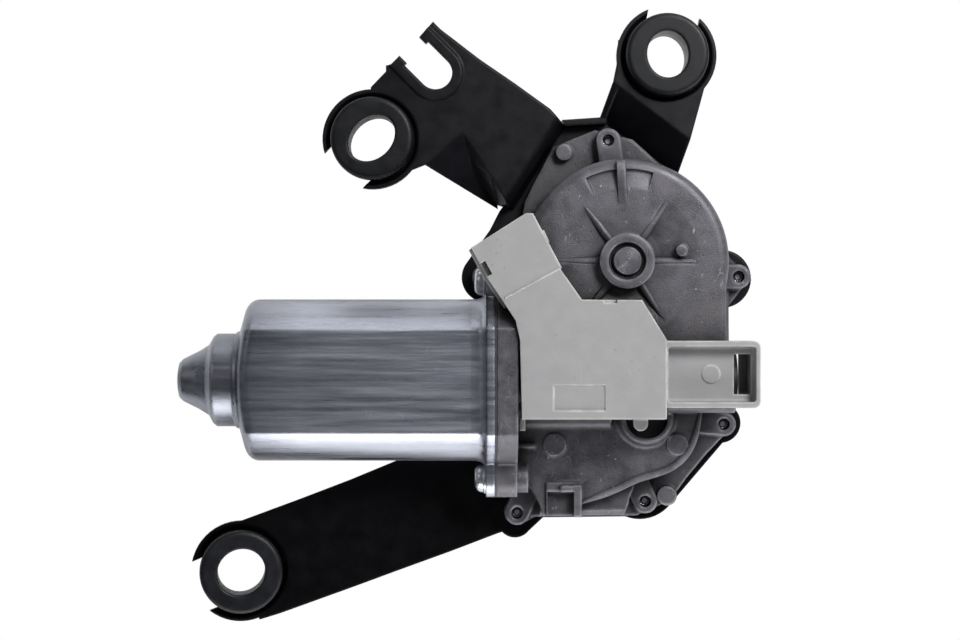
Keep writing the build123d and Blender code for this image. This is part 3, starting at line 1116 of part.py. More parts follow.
with BuildPart() as connector_base:
    with BuildSketch(Plane.XY.offset(CONN_Z)):
        add(plan(BASE_OUT))
    extrude(amount=CONN_SPLIT - CONN_Z)
    with BuildSketch(Plane.XY.offset(CONN_Z + CONN_WALL)):
        add(CONN_INNER)
    extrude(amount=CONN_SPLIT, mode=Mode.SUBTRACT)
    # tongue with its hook over the edge of the housing
    with BuildSketch(Plane.XY.offset(CONN_Z)) as tongue_plan:
        with Locations(((3.0 + TONGUE_END) / 2, (TONGUE_LOW + TONGUE_HIGH) / 2)):
            Rectangle(TONGUE_END - 3.0, TONGUE_HIGH - TONGUE_LOW)
        fillet(tongue_plan.vertices().sort_by(Axis.X)[-2:], 2.0)
    extrude(amount=TONGUE_TOP - CONN_Z)
    with BuildSketch(Plane.XY.offset(HOOK_Z)):
        with Locations(((28.3 + TONGUE_END) / 2, 13.8)):
            Rectangle(TONGUE_END - 28.3, 15.0)
    extrude(amount=CONN_Z - HOOK_Z)
    add(tongue_hollow.part, mode=Mode.SUBTRACT)
    with BuildSketch(Plane.XY.offset(HOOK_Z + 1.2)):
        with Locations((27.9, 13.8)):
            Rectangle(5.2, 12.2)
    extrude(amount=TONGUE_TOP - HOOK_Z, mode=Mode.SUBTRACT)
    with Locations((18.35, 13.86, TONGUE_FLOOR)):
        Cylinder(2.75, 0.3, align=SIT)
    # foot tab, round tab over the output bore
    with BuildSketch(Plane.XY.offset(CONN_Z)):
        with Locations((-38.8, -1.4)):
            Rectangle(1.6, 4.0)
        with Locations((-2.9, -1.3)):
            Circle(2.2)
        with Locations((-2.9, 0.4)):
            Rectangle(4.4, 3.4)
    extrude(amount=1.6)
    # mouth, open to the upper left
    with BuildSketch(Plane.XY.offset(CONN_Z + CONN_WALL)):
        with Locations(mouth_place):
            Rectangle(6, MOUTH_W)
    extrude(amount=CONN_SPLIT, mode=Mode.SUBTRACT)
    # room for the housing flange
    with BuildSketch(motor_plane(HOUSING_FACE - 0.4)):
        add(flange_room)
    extrude(amount=HOUSING_FLANGE_T + 0.8, mode=Mode.SUBTRACT)
    # terminal wall
    with BuildSketch(Plane.XY.offset(CONN_Z + 0.5)):
        with Locations(mouth_place):
            with Locations((-17.5, 0)):
                Rectangle(2.2, 15.0)
    extrude(amount=CONN_TOP - 2 * CONN_WALL - CONN_Z - GAP)
    for k in range(4):
        with Locations(Location((MOUTH[0], MOUTH[1], BLADE_Z), MOUTH_ANGLE)):
            with Locations((-17.5, (k - 1.5) * BLADE_PITCH, 0)):
                Box(6, BLADE_W + 2 * FIT, BLADE_T + 2 * FIT, mode=Mode.SUBTRACT)

with BuildPart() as connector_cover:
    with BuildSketch(Plane.XY.offset(CONN_SPLIT)):
        add(plan(COVER_OUT))
    extrude(amount=CONN_TOP - CONN_SPLIT)
    with BuildSketch(Plane.XY.offset(CONN_TOP)):
        add(plan(SOCKET_TOP))
    extrude(amount=SOCKET_RISE, taper=20)
    with BuildSketch(Plane.XY.offset(CONN_SPLIT)):
        add(CONN_INNER)
    extrude(amount=CONN_TOP - CONN_WALL - CONN_SPLIT, mode=Mode.SUBTRACT)
    with BuildSketch(Plane.XY.offset(CONN_SPLIT)):
        with Locations(mouth_place):
            Rectangle(6, MOUTH_W)
    extrude(amount=CONN_TOP - CONN_WALL - CONN_SPLIT, mode=Mode.SUBTRACT)
    with BuildSketch(Plane.XY.offset(CONN_SPLIT)):
        with Locations((4.1, (TONGUE_LOW + TONGUE_HIGH) / 2)):
            Rectangle(6, TONGUE_HIGH - TONGUE_LOW + 0.4)
    extrude(amount=TONGUE_TOP + GAP - CONN_SPLIT, mode=Mode.SUBTRACT)
    with BuildSketch(motor_plane(HOUSING_FACE - 0.4)):
        add(flange_room)
    extrude(amount=HOUSING_FLANGE_T + 0.8, mode=Mode.SUBTRACT)
    # shallow window, snap notches, latch bump
    with BuildSketch(Plane.XY.offset(CONN_TOP)):
        with Locations((-22.0, 6.9)):
            Rectangle(15.4, 7.6)
    extrude(amount=-0.4, mode=Mode.SUBTRACT)
    with BuildSketch(Plane.XY.offset(CONN_TOP + SOCKET_RISE)):
        with Locations(Location((-50.0, 45.6, 0), MOUTH_ANGLE)):
            Rectangle(4.4, 1.8)
    extrude(amount=-3.0, mode=Mode.SUBTRACT)
    with BuildSketch(Plane.XY.offset(CONN_TOP)):
        with Locations((-12.7, 36.0)):
            Rectangle(3.9, 1.2)
    extrude(amount=-3.0, mode=Mode.SUBTRACT)
    with BuildSketch(Plane.XY.offset(CONN_SPLIT)):
        with Locations(Location((-32.5, 55.2, 0), 115.7)):
            Rectangle(4.0, 1.6)
    extrude(amount=5.0)

with BuildPart() as connector_terminals:
    for k in range(4):
        with Locations(Location((MOUTH[0], MOUTH[1], BLADE_Z), MOUTH_ANGLE)):
            with Locations((-BLADE_SETBACK - BLADE_LEN / 2, (k - 1.5) * BLADE_PITCH, 0)):
                Box(BLADE_LEN, BLADE_W, BLADE_T)
    with BuildSketch(motor_plane(HOUSING_FACE - 0.4)):
        add(flange_room)
    extrude(amount=HOUSING_FLANGE_T + 0.8, mode=Mode.SUBTRACT)

# Names and files
motor_can.part.label = "motor_can"
export_step(motor_can.part, "parts/motor_can.step")
field_magnets.part.label = "field_magnets"
export_step(field_magnets.part, "parts/field_magnets.step")
magnet_clips.part.label = "magnet_clips"
export_step(magnet_clips.part, "parts/magnet_clips.step")
rear_bearing.part.label = "rear_bearing"
export_step(rear_bearing.part, "parts/rear_bearing.step")
thrust_disc.part.label = "thrust_disc"
export_step(thrust_disc.part, "parts/thrust_disc.step")
armature_shaft.part.label = "armature_shaft"
export_step(armature_shaft.part, "parts/armature_shaft.step")
armature_core.part.label = "armature_core"
export_step(armature_core.part, "parts/armature_core.step")
armature_windings.part.label = "armature_windings"
export_step(armature_windings.part, "parts/armature_windings.step")
commutator.part.label = "commutator"
export_step(commutator.part, "parts/commutator.step")
brush_plate.part.label = "brush_plate"
export_step(brush_plate.part, "parts/brush_plate.step")
carbon_brushes.part.label = "carbon_brushes"
export_step(carbon_brushes.part, "parts/carbon_brushes.step")
brush_springs.part.label = "brush_springs"
export_step(brush_springs.part, "parts/brush_springs.step")
suppression_chokes.part.label = "suppression_chokes"
export_step(suppression_chokes.part, "parts/suppression_chokes.step")
can_screws.part.label = "can_screws"
export_step(can_screws.part, "parts/can_screws.step")
drive_end_bearing.part.label = "drive_end_bearing"
export_step(drive_end_bearing.part, "parts/drive_end_bearing.step")
worm_end_bearing.part.label = "worm_end_bearing"
export_step(worm_end_bearing.part, "parts/worm_end_bearing.step")
thrust_button.part.label = "thrust_button"
export_step(thrust_button.part, "parts/thrust_button.step")
gear_housing.part.label = "gear_housing"
export_step(gear_housing.part, "parts/gear_housing.step")
worm_wheel.part.label = "worm_wheel"
export_step(worm_wheel.part, "parts/worm_wheel.step")
wheel_axle.part.label = "wheel_axle"
export_step(wheel_axle.part, "parts/wheel_axle.step")
crank_pin.part.label = "crank_pin"
export_step(crank_pin.part, "parts/crank_pin.step")
park_disc.part.label = "park_disc"
export_step(park_disc.part, "parts/park_disc.step")
park_fingers.part.label = "park_fingers"
export_step(park_fingers.part, "parts/park_fingers.step")
output_shaft.part.label = "output_shaft"
export_step(output_shaft.part, "parts/output_shaft.step")
output_pinion.part.label = "output_pinion"
export_step(output_pinion.part, "parts/output_pinion.step")
rocker_plate.part.label = "rocker_plate"
export_step(rocker_plate.part, "parts/rocker_plate.step")
rocker_pin.part.label = "rocker_pin"
export_step(rocker_pin.part, "parts/rocker_pin.step")
toothed_link.part.label = "toothed_link"
export_step(toothed_link.part, "parts/toothed_link.step")
spindle_tube.part.label = "spindle_tube"
export_step(spindle_tube.part, "parts/spindle_tube.step")
shaft_bushes.part.label = "shaft_bushes"
export_step(shaft_bushes.part, "parts/shaft_bushes.step")
thrust_washer.part.label = "thrust_washer"
export_step(thrust_washer.part, "parts/thrust_washer.step")
shaft_ring.part.label = "shaft_ring"
export_step(shaft_ring.part, "parts/shaft_ring.step")
spindle_seal.part.label = "spindle_seal"
export_step(spindle_seal.part, "parts/spindle_seal.step")
mounting_bracket.part.label = "mounting_bracket"
export_step(mounting_bracket.part, "parts/mounting_bracket.step")
rubber_mount_ul.part.label = "rubber_mount_ul"
export_step(rubber_mount_ul.part, "parts/rubber_mount_ul.step")
rubber_mount_ur.part.label = "rubber_mount_ur"
export_step(rubber_mount_ur.part, "parts/rubber_mount_ur.step")
rubber_mount_ll.part.label = "rubber_mount_ll"
export_step(rubber_mount_ll.part, "parts/rubber_mount_ll.step")
housing_gasket.part.label = "housing_gasket"
export_step(housing_gasket.part, "parts/housing_gasket.step")
cover_screws.part.label = "cover_screws"
export_step(cover_screws.part, "parts/cover_screws.step")
connector_base.part.label = "connector_base"
export_step(connector_base.part, "parts/connector_base.step")
connector_cover.part.label = "connector_cover"
export_step(connector_cover.part, "parts/connector_cover.step")
connector_terminals.part.label = "connector_terminals"
export_step(connector_terminals.part, "parts/connector_terminals.step")
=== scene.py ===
import json
import math

import bmesh
import bpy
from mathutils import Matrix, Vector


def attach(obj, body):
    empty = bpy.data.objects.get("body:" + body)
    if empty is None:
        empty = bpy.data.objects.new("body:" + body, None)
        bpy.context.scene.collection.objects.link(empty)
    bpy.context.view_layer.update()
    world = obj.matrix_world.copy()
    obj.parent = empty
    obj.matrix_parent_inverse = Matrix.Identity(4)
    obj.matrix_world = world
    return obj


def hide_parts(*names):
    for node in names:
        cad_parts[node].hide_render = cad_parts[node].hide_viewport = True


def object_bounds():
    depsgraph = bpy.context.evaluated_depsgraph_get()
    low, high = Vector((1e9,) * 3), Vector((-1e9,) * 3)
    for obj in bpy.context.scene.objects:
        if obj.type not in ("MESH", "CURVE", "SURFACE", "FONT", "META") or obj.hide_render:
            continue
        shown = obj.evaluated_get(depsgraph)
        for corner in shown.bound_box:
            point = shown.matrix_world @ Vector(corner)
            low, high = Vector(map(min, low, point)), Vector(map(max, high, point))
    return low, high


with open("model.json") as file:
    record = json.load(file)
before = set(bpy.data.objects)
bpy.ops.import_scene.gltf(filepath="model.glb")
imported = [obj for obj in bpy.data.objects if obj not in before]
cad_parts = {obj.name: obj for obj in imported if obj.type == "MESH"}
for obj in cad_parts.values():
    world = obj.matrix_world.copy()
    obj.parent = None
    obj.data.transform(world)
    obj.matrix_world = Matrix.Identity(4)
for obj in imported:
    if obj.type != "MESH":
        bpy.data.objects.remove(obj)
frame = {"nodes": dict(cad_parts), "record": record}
cad_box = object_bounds()
nodes = frame["nodes"]

MM = 0.001  # sizes and places of the pieces are in millimetres, the scene is in metres
WELD = 1e-7  # vertices closer than this, in metres, become one


# Shader helpers
def tree_of(holder):
    """Node tree of a material or a world."""
    holder.use_nodes = True
    return holder.node_tree


def link(tree, output, into):
    tree.links.new(output, into)


def add_node(tree, kind, inputs=(), **settings):
    """New node with settings such as operation; inputs, by name or number, are values or links."""
    node = tree.nodes.new(kind)
    for key, value in settings.items():
        setattr(node, key, value)
    for key, value in dict(inputs).items():
        if isinstance(value, bpy.types.NodeSocket):
            link(tree, value, node.inputs[key])
        else:
            node.inputs[key].default_value = value
    return node


def sum_of(tree, a, b):
    return add_node(tree, "ShaderNodeMath", {0: a, 1: b}, operation="ADD").outputs[0]


def difference(tree, a, b):
    return add_node(tree, "ShaderNodeMath", {0: a, 1: b}, operation="SUBTRACT").outputs[0]


def product(tree, a, b):
    return add_node(tree, "ShaderNodeMath", {0: a, 1: b}, operation="MULTIPLY").outputs[0]


def mapped(tree, source, low, high, out_low=0.0, out_high=1.0):
    """Value stretched from low..high to out_low..out_high and clamped."""
    span = add_node(tree, "ShaderNodeMapRange", {
        "Value": source, "From Min": low, "From Max": high, "To Min": out_low, "To Max": out_high})
    return span.outputs["Result"]


def noise_of(tree, vector, scale, detail, rough=0.55):
    """Value of a noise texture with scale waves for each metre."""
    noise = add_node(tree, "ShaderNodeTexNoise", {
        "Vector": vector, "Scale": scale, "Detail": detail, "Roughness": rough})
    return noise.outputs["Fac"]


def dots_of(tree, vector, scale, edge, core):
    """Small dots in random places: 0 at the distance edge from a dot's middle and 1 within core."""
    cells = add_node(tree, "ShaderNodeTexVoronoi", {"Vector": vector, "Scale": scale})
    return mapped(tree, cells.outputs["Distance"], edge, core)


def painted(tree, colour, top, amount):
    """Colour with the colour top laid over it where amount is high."""
    mix = add_node(tree, "ShaderNodeMix", {"A": colour, "B": (*top, 1), "Factor": amount}, data_type="RGBA")
    return mix.outputs["Result"]


def shaded(colour, share):
    return [channel * share for channel in colour]


def new_group(name, inputs, outputs):
    """Node group with inputs (name, kind, value) and outputs (name, kind), its start and its end."""
    group = bpy.data.node_groups.new(name, "ShaderNodeTree")
    for label, kind, value in inputs:
        socket = group.interface.new_socket(label, in_out="INPUT", socket_type="NodeSocket" + kind)
        socket.default_value = value
    for label, kind in outputs:
        group.interface.new_socket(label, in_out="OUTPUT", socket_type="NodeSocket" + kind)
    return group, group.nodes.new("NodeGroupInput"), group.nodes.new("NodeGroupOutput")


# Textures of the surface masks: scales in waves or cells for each metre, reach in metres
GRAIN_SCALE = 2600.0
BLOTCH_SCALE = 190.0
CLOUD_SCALE = 38.0
PIT_SCALE = 430.0
PIT_PATCH_SCALE = 90.0
NICK_SCALE = 620.0
NICK_PATCH_SCALE = 150.0
HAIR_SCALE = 85.0
HAIR_PATCH_SCALE = 210.0
BEND_SCALE = 60.0
BEND_REACH = 0.02
NICK_STRETCH = (1.0, 0.38, 0.6)
NOISE_MIDDLE = 0.5


def surface_masks():
    """Masks in object space: fine grain, blotches, clouds, pits, nicks and hair scratches."""
    names = ("Grain", "Blotch", "Cloud", "Pits", "Nicks", "Hairs")
    group, start, end = new_group("surface_masks",
                                  [("Scale", "Float", 1.0), ("Stretch", "Vector", (1, 1, 1))],
                                  [(name, "Float") for name in names])
    place = group.nodes.new("ShaderNodeTexCoord").outputs["Object"]
    squeezed = add_node(group, "ShaderNodeVectorMath", {0: place, 1: start.outputs["Stretch"]},
                        operation="MULTIPLY")
    sized = add_node(group, "ShaderNodeVectorMath",
                     {0: squeezed.outputs[0], "Scale": start.outputs["Scale"]}, operation="SCALE")
    spot = sized.outputs[0]
    grain = mapped(group, noise_of(group, spot, GRAIN_SCALE, detail=2.0, rough=0.6), 0.3, 0.7)
    blotch = mapped(group, noise_of(group, spot, BLOTCH_SCALE, detail=5.0, rough=0.6), 0.33, 0.67)
    cloud = mapped(group, noise_of(group, spot, CLOUD_SCALE, detail=3.0, rough=0.5), 0.35, 0.65)

    # Pits are small round dots, in few patches
    pit = dots_of(group, spot, PIT_SCALE, edge=0.16, core=0.05)
    pit_patch = mapped(group, noise_of(group, spot, PIT_PATCH_SCALE, detail=2.0), 0.52, 0.60)

    # Nicks are dots drawn out into short dashes by bent, stretched coordinates
    bend = noise_of(group, place, BEND_SCALE, detail=2.0)
    shift = add_node(group, "ShaderNodeVectorMath", {0: bend, "Scale": BEND_REACH}, operation="SCALE")
    bent = add_node(group, "ShaderNodeVectorMath", {0: place, 1: NICK_STRETCH, 2: shift.outputs[0]},
                    operation="MULTIPLY_ADD").outputs[0]
    nick = dots_of(group, bent, NICK_SCALE, edge=0.20, core=0.08)
    nick_patch = mapped(group, noise_of(group, place, NICK_PATCH_SCALE, detail=3.0), 0.53, 0.62)

    # Hair scratches are thin level lines of a noise, where it crosses its middle
    level = difference(group, noise_of(group, bent, HAIR_SCALE, detail=1.0, rough=0.4), NOISE_MIDDLE)
    off_line = add_node(group, "ShaderNodeMath", {0: level}, operation="ABSOLUTE").outputs[0]
    hair = mapped(group, off_line, 0.0035, 0.0010)
    hair_patch = mapped(group, noise_of(group, place, HAIR_PATCH_SCALE, detail=2.0), 0.52, 0.62)

    masks = (grain, blotch, cloud, product(group, pit, pit_patch), product(group, nick, nick_patch),
             product(group, hair, hair_patch))
    for name, mask in zip(names, masks):
        link(group, mask, end.inputs[name])
    return group


# Likeness of rounded and true normal (a cosine) where edge wear and painted highlight begin and where they
# are full
WEAR_AND_HIGHLIGHT_BEGINS, WEAR_AND_HIGHLIGHT_FULL = 0.985, 0.80
# Share of open sky round a spot where painted shade in hollows begins and where it is full
HOLLOW_SHADE_BEGINS, HOLLOW_SHADE_FULL = 0.97, 0.40


def edge_masks():
    """Normal rounded near sharp edges, a mask of worn edges that also paints highlights, and a mask of
    painted shade in hollows.
    """
    group, start, end = new_group("edge_masks",
                                  [("Radius", "Float", 0.0004), ("Reach", "Float", 0.005)],
                                  [("Edge_wear_and_highlight", "Float"), ("Shade_in_hollows", "Float"), ("Normal", "Vector")])
    bevel = add_node(group, "ShaderNodeBevel", {"Radius": start.outputs["Radius"]}, samples=4)
    surface = group.nodes.new("ShaderNodeNewGeometry")
    likeness = add_node(group, "ShaderNodeVectorMath",
                        {0: bevel.outputs["Normal"], 1: surface.outputs["Normal"]}, operation="DOT_PRODUCT")
    # Ambient occlusion gives the mask of painted shade in hollows
    openness = add_node(group, "ShaderNodeAmbientOcclusion", {"Distance": start.outputs["Reach"]},
                        samples=8)
    # The edge mask stands for wear and also paints highlights along edges
    link(group, mapped(group, likeness.outputs["Value"], WEAR_AND_HIGHLIGHT_BEGINS, WEAR_AND_HIGHLIGHT_FULL), end.inputs["Edge_wear_and_highlight"])
    link(group, mapped(group, openness.outputs["AO"], HOLLOW_SHADE_BEGINS, HOLLOW_SHADE_FULL), end.inputs["Shade_in_hollows"])
    link(group, bevel.outputs["Normal"], end.inputs["Normal"])
    return group


MASKS = surface_masks()
EDGES = edge_masks()

# Shares of a finish's dark colour in pits, in the painted shade of hollows and in the painted shade along
# an axis
PIT_SHADE = 0.35
PAINTED_HOLLOW_SHADE = 0.16
AXIS_SHADE_DARK = 0.2
# Level of the cloud mask where stains begin and where they are full
STAIN_BEGINS, STAIN_FULL = 0.62, 0.95
# Share of the wear and painted edge highlight that edges keep where the blotch mask is low
LEAST_WEAR_AND_HIGHLIGHT = 0.35
# Shares of grain and blotches in the relief, and its depth in metres
GRAIN_RELIEF = 0.85
BLOTCH_RELIEF = 0.15
RELIEF_DEPTH = 0.0002


def finish(name, dark, light, metallic, rough, bump, rough_span=0.08, scale=1.0, stretch=(1, 1, 1),
           cloud=0.3, grain=0.3, specular=0.5, edge=0.0004, wear_and_highlight=0.0, wear_and_highlight_colour=(0.5, 0.5, 0.52),
           pits=0.0, nicks=0.0, hairs=0.0, stain=0.0, stain_colour=None, hollow_shade=0.0, reach=0.005,
           axis_shade=None):
    """Procedural finish between a dark and a light colour, with worn and painted-highlight edges, marks,
    stains and painted shade in hollows.

    Edge and reach are in metres. The last argument is (axis, begin, full, share, gleam), a painted shade:
    along the axis, from begin to full in metres, the colour is painted darker by share and keeps gleam of
    the specular level.
    """
    material = bpy.data.materials.new(name)
    tree = tree_of(material)
    shader = tree.nodes["Principled BSDF"]
    masks = add_node(tree, "ShaderNodeGroup", {"Scale": scale, "Stretch": stretch}, node_tree=MASKS).outputs
    edges = add_node(tree, "ShaderNodeGroup", {"Radius": edge, "Reach": reach}, node_tree=EDGES).outputs

    tone = product(tree, masks["Blotch"], 1.0 - cloud - grain)
    tone = sum_of(tree, tone, product(tree, masks["Cloud"], cloud))
    tone = sum_of(tree, tone, product(tree, masks["Grain"], grain))
    blend = add_node(tree, "ShaderNodeMix", {"A": (*dark, 1), "B": (*light, 1), "Factor": tone},
                     data_type="RGBA")
    colour = blend.outputs["Result"]
    if stain:
        patch = mapped(tree, masks["Cloud"], STAIN_BEGINS, STAIN_FULL, 0.0, stain)
        colour = painted(tree, colour, stain_colour, product(tree, patch, masks["Blotch"]))
    if pits:
        colour = painted(tree, colour, shaded(dark, PIT_SHADE), product(tree, masks["Pits"], pits))
    # Edges painted lighter: partly wear, partly painted highlight
    if wear_and_highlight:
        rubbed = mapped(tree, masks["Blotch"], 0.1, 0.8, LEAST_WEAR_AND_HIGHLIGHT, 1.0)
        worn_and_lit = product(tree, product(tree, edges["Edge_wear_and_highlight"], rubbed), wear_and_highlight)
        colour = painted(tree, colour, wear_and_highlight_colour, worn_and_lit)
    if nicks:
        colour = painted(tree, colour, wear_and_highlight_colour, product(tree, masks["Nicks"], nicks))
    if hairs:
        colour = painted(tree, colour, wear_and_highlight_colour, product(tree, masks["Hairs"], hairs))
    # Painted shade: the colour is darkened in hollows by ambient occlusion
    if hollow_shade:
        colour = painted(tree, colour, shaded(dark, PAINTED_HOLLOW_SHADE), product(tree, edges["Shade_in_hollows"], hollow_shade))
    shader.inputs["Specular IOR Level"].default_value = specular
    # Painted shade: the colour is darkened and the specular level lowered along one axis
    if axis_shade:
        axis, begin, full, share, gleam = axis_shade
        place = tree.nodes.new("ShaderNodeTexCoord").outputs["Object"]
        along = add_node(tree, "ShaderNodeSeparateXYZ", {0: place}).outputs[axis]
        amount = product(tree, mapped(tree, along, begin, full), share)
        colour = painted(tree, colour, shaded(dark, AXIS_SHADE_DARK), amount)
        shaded_specular = mapped(tree, along, begin, full, specular, specular * gleam)
        link(tree, shaded_specular, shader.inputs["Specular IOR Level"])

    height = sum_of(tree, product(tree, masks["Grain"], GRAIN_RELIEF),
                    product(tree, masks["Blotch"], BLOTCH_RELIEF))
    if pits:
        height = difference(tree, height, product(tree, masks["Pits"], pits))
    relief = add_node(tree, "ShaderNodeBump", {
        "Strength": bump, "Distance": RELIEF_DEPTH, "Height": height, "Normal": edges["Normal"]})
    gloss = mapped(tree, masks["Blotch"], 0.0, 1.0, rough - rough_span, rough + rough_span)
    link(tree, colour, shader.inputs["Base Color"])
    link(tree, gloss, shader.inputs["Roughness"])
    link(tree, relief.outputs["Normal"], shader.inputs["Normal"])
    shader.inputs["Metallic"].default_value = metallic
    return material


# Finishes of the material slots
LOOKS = {
    # Painted shade: the can darkens towards its end at low X
    "can_zinc": finish(
        "zinc_drawn", dark=(0.36, 0.375, 0.44), light=(0.64, 0.66, 0.745), metallic=1.0, rough=0.31,
        rough_span=0.07, bump=0.13, scale=2.4, stretch=(0.05, 1.0, 1.0), cloud=0.30, grain=0.25,
        edge=0.0009, wear_and_highlight=0.7, wear_and_highlight_colour=(0.95, 0.96, 1.0), pits=0.8, hairs=0.25, stain=0.25,
        stain_colour=(0.20, 0.20, 0.23), hollow_shade=0.7, reach=0.005, axis_shade=("X", -0.106, -0.124, 0.55, 0.8)),
    # Painted shade: the bracket darkens towards low Y, over its lower arm
    "bracket_black": finish(
        "black_coat", dark=(0.0024, 0.0025, 0.0040), light=(0.0052, 0.0053, 0.0082), metallic=0.0,
        rough=0.38, rough_span=0.06, bump=0.08, specular=0.27, edge=0.0012, wear_and_highlight=0.26,
        wear_and_highlight_colour=(0.075, 0.075, 0.09), nicks=0.05, hollow_shade=0.7, reach=0.004,
        axis_shade=("Y", 0.075, -0.01, 0.9, 0.40)),
    "cast_alu": finish(
        "cast_alloy", dark=(0.048, 0.047, 0.054), light=(0.176, 0.170, 0.190), metallic=0.5, rough=0.44,
        rough_span=0.09, bump=0.22, cloud=0.34, grain=0.34, edge=0.0015, wear_and_highlight=0.9,
        wear_and_highlight_colour=(0.44, 0.44, 0.49), pits=0.8, nicks=0.9, hairs=0.3, stain=0.5,
        stain_colour=(0.10, 0.086, 0.078), hollow_shade=0.95, reach=0.009),
    "plastic_cream": finish(
        "cream_plastic", dark=(0.302, 0.300, 0.306), light=(0.352, 0.348, 0.352), metallic=0.0,
        rough=0.44, rough_span=0.06, bump=0.04, edge=0.0009, wear_and_highlight=0.95, wear_and_highlight_colour=(0.88, 0.86, 0.78),
        pits=0.4, hairs=0.04, stain=0.3, stain_colour=(0.27, 0.245, 0.20), hollow_shade=0.12, reach=0.002),
    "rubber_black": finish(
        "black_rubber", dark=(0.0027, 0.0029, 0.0046), light=(0.0058, 0.0061, 0.0090), metallic=0.0,
        rough=0.43, rough_span=0.07, bump=0.12, specular=0.31, edge=0.0008, wear_and_highlight=0.15,
        wear_and_highlight_colour=(0.06, 0.06, 0.07), nicks=0.06, hollow_shade=0.6, reach=0.003),
    "steel_plain": finish(
        "ground_steel", dark=(0.10, 0.10, 0.112), light=(0.18, 0.18, 0.20), metallic=0.9, rough=0.42,
        rough_span=0.07, bump=0.08, wear_and_highlight=0.5, wear_and_highlight_colour=(0.5, 0.5, 0.53), hairs=0.2, hollow_shade=0.6,
        reach=0.002),
    "steel_zinc": finish(
        "zinc_screw", dark=(0.50, 0.51, 0.54), light=(0.70, 0.71, 0.75), metallic=1.0, rough=0.27,
        bump=0.08, wear_and_highlight=0.4, wear_and_highlight_colour=(0.85, 0.86, 0.88), nicks=0.3),
    "steel_dark": finish(
        "phosphate_steel", dark=(0.05, 0.05, 0.055), light=(0.10, 0.10, 0.11), metallic=0.6, rough=0.5,
        bump=0.2, wear_and_highlight=0.3),
    "magnet": finish(
        "ferrite", dark=(0.03, 0.03, 0.035), light=(0.07, 0.07, 0.075), metallic=0.2, rough=0.6,
        bump=0.25, pits=0.4),
    "copper": finish(
        "enamelled_copper", dark=(0.45, 0.16, 0.07), light=(0.66, 0.30, 0.15), metallic=0.9, rough=0.35,
        bump=0.2),
    "brass": finish(
        "plain_brass", dark=(0.55, 0.38, 0.12), light=(0.72, 0.54, 0.22), metallic=1.0, rough=0.32,
        bump=0.08, hairs=0.2),
    "bronze": finish(
        "sintered_bronze", dark=(0.30, 0.19, 0.08), light=(0.46, 0.31, 0.15), metallic=0.9, rough=0.5,
        bump=0.3, pits=0.6),
    "carbon": finish(
        "pressed_carbon", dark=(0.012, 0.012, 0.012), light=(0.035, 0.035, 0.035), metallic=0.1,
        rough=0.5, bump=0.2),
    "plastic_dark": finish(
        "dark_plastic", dark=(0.04, 0.04, 0.045), light=(0.065, 0.065, 0.07), metallic=0.0, rough=0.5,
        bump=0.1),
    "plastic_white": finish(
        "white_acetal", dark=(0.60, 0.59, 0.56), light=(0.70, 0.69, 0.65), metallic=0.0, rough=0.35,
        bump=0.05),
    "gasket": finish(
        "gasket_sheet", dark=(0.02, 0.021, 0.023), light=(0.04, 0.041, 0.044), metallic=0.0, rough=0.8,
        rough_span=0.06, bump=0.3),
}
slot_of = {part["node"]: part["material_slot"] for part in frame["record"]["subparts"]}
for name, obj in nodes.items():
    obj.data.materials.clear()
    obj.data.materials.append(LOOKS[slot_of[name]])


# Helpers for the pieces made here
def upright(origin, direction):
    """Matrix that carries a shape made along Z to origin, pointing along direction."""
    turn = Vector((0, 0, 1)).rotation_difference(Vector(direction)).to_matrix().to_4x4()
    return Matrix.Translation(Vector(origin) * MM) @ turn


def ring(bm, radius, z, sides):
    """Round closed loop of vertices at height z."""
    lift = Matrix.Translation((0, 0, z * MM))
    return bmesh.ops.create_circle(bm, segments=sides, radius=radius * MM, matrix=lift)["verts"]


def lobed_ring(bm, low, high, z, sides, lobes):
    """Closed loop of vertices whose radius swings between low and high, lobes times round."""
    loop = ring(bm, high, z, sides)
    for v in loop:
        angle = math.atan2(v.co.y, v.co.x)
        radius = low + (high - low) * (0.5 + 0.5 * math.cos(lobes * angle))
        stretch = radius * MM / math.hypot(v.co.x, v.co.y)
        v.co.x *= stretch
        v.co.y *= stretch
    return loop


def loop_edges(verts):
    """Edges that lie wholly in a loop of vertices."""
    inside = set(verts)
    return [e for e in {e for v in verts for e in v.link_edges} if all(w in inside for w in e.verts)]


def skin(bm, loops, caps=False):
    """Joins loops of equal count one after the other, and fills the first and last with caps."""
    rims = [loop_edges(loop) for loop in loops]
    for rim, next_rim in zip(rims, rims[1:]):
        bmesh.ops.bridge_loops(bm, edges=rim + next_rim)
    if caps:
        for loop in (loops[0], loops[-1]):
            bmesh.ops.contextual_create(bm, geom=loop)


def lathe(bm, profile, sides, closed=False):
    """Turned shape from (radius, z) pairs; closed joins the last pair to the first."""
    made = [bm.verts.new((r * MM, 0, z * MM)) for r, z in profile]
    following = made[1:] + made[:1] if closed else made[1:]
    edges = [bm.edges.new(pair) for pair in zip(made, following)]
    bmesh.ops.spin(bm, geom=made + edges, axis=(0, 0, 1), cent=(0, 0, 0), angle=2 * math.pi,
                   steps=sides, use_merge=True)
    bmesh.ops.remove_doubles(bm, verts=bm.verts, dist=WELD)


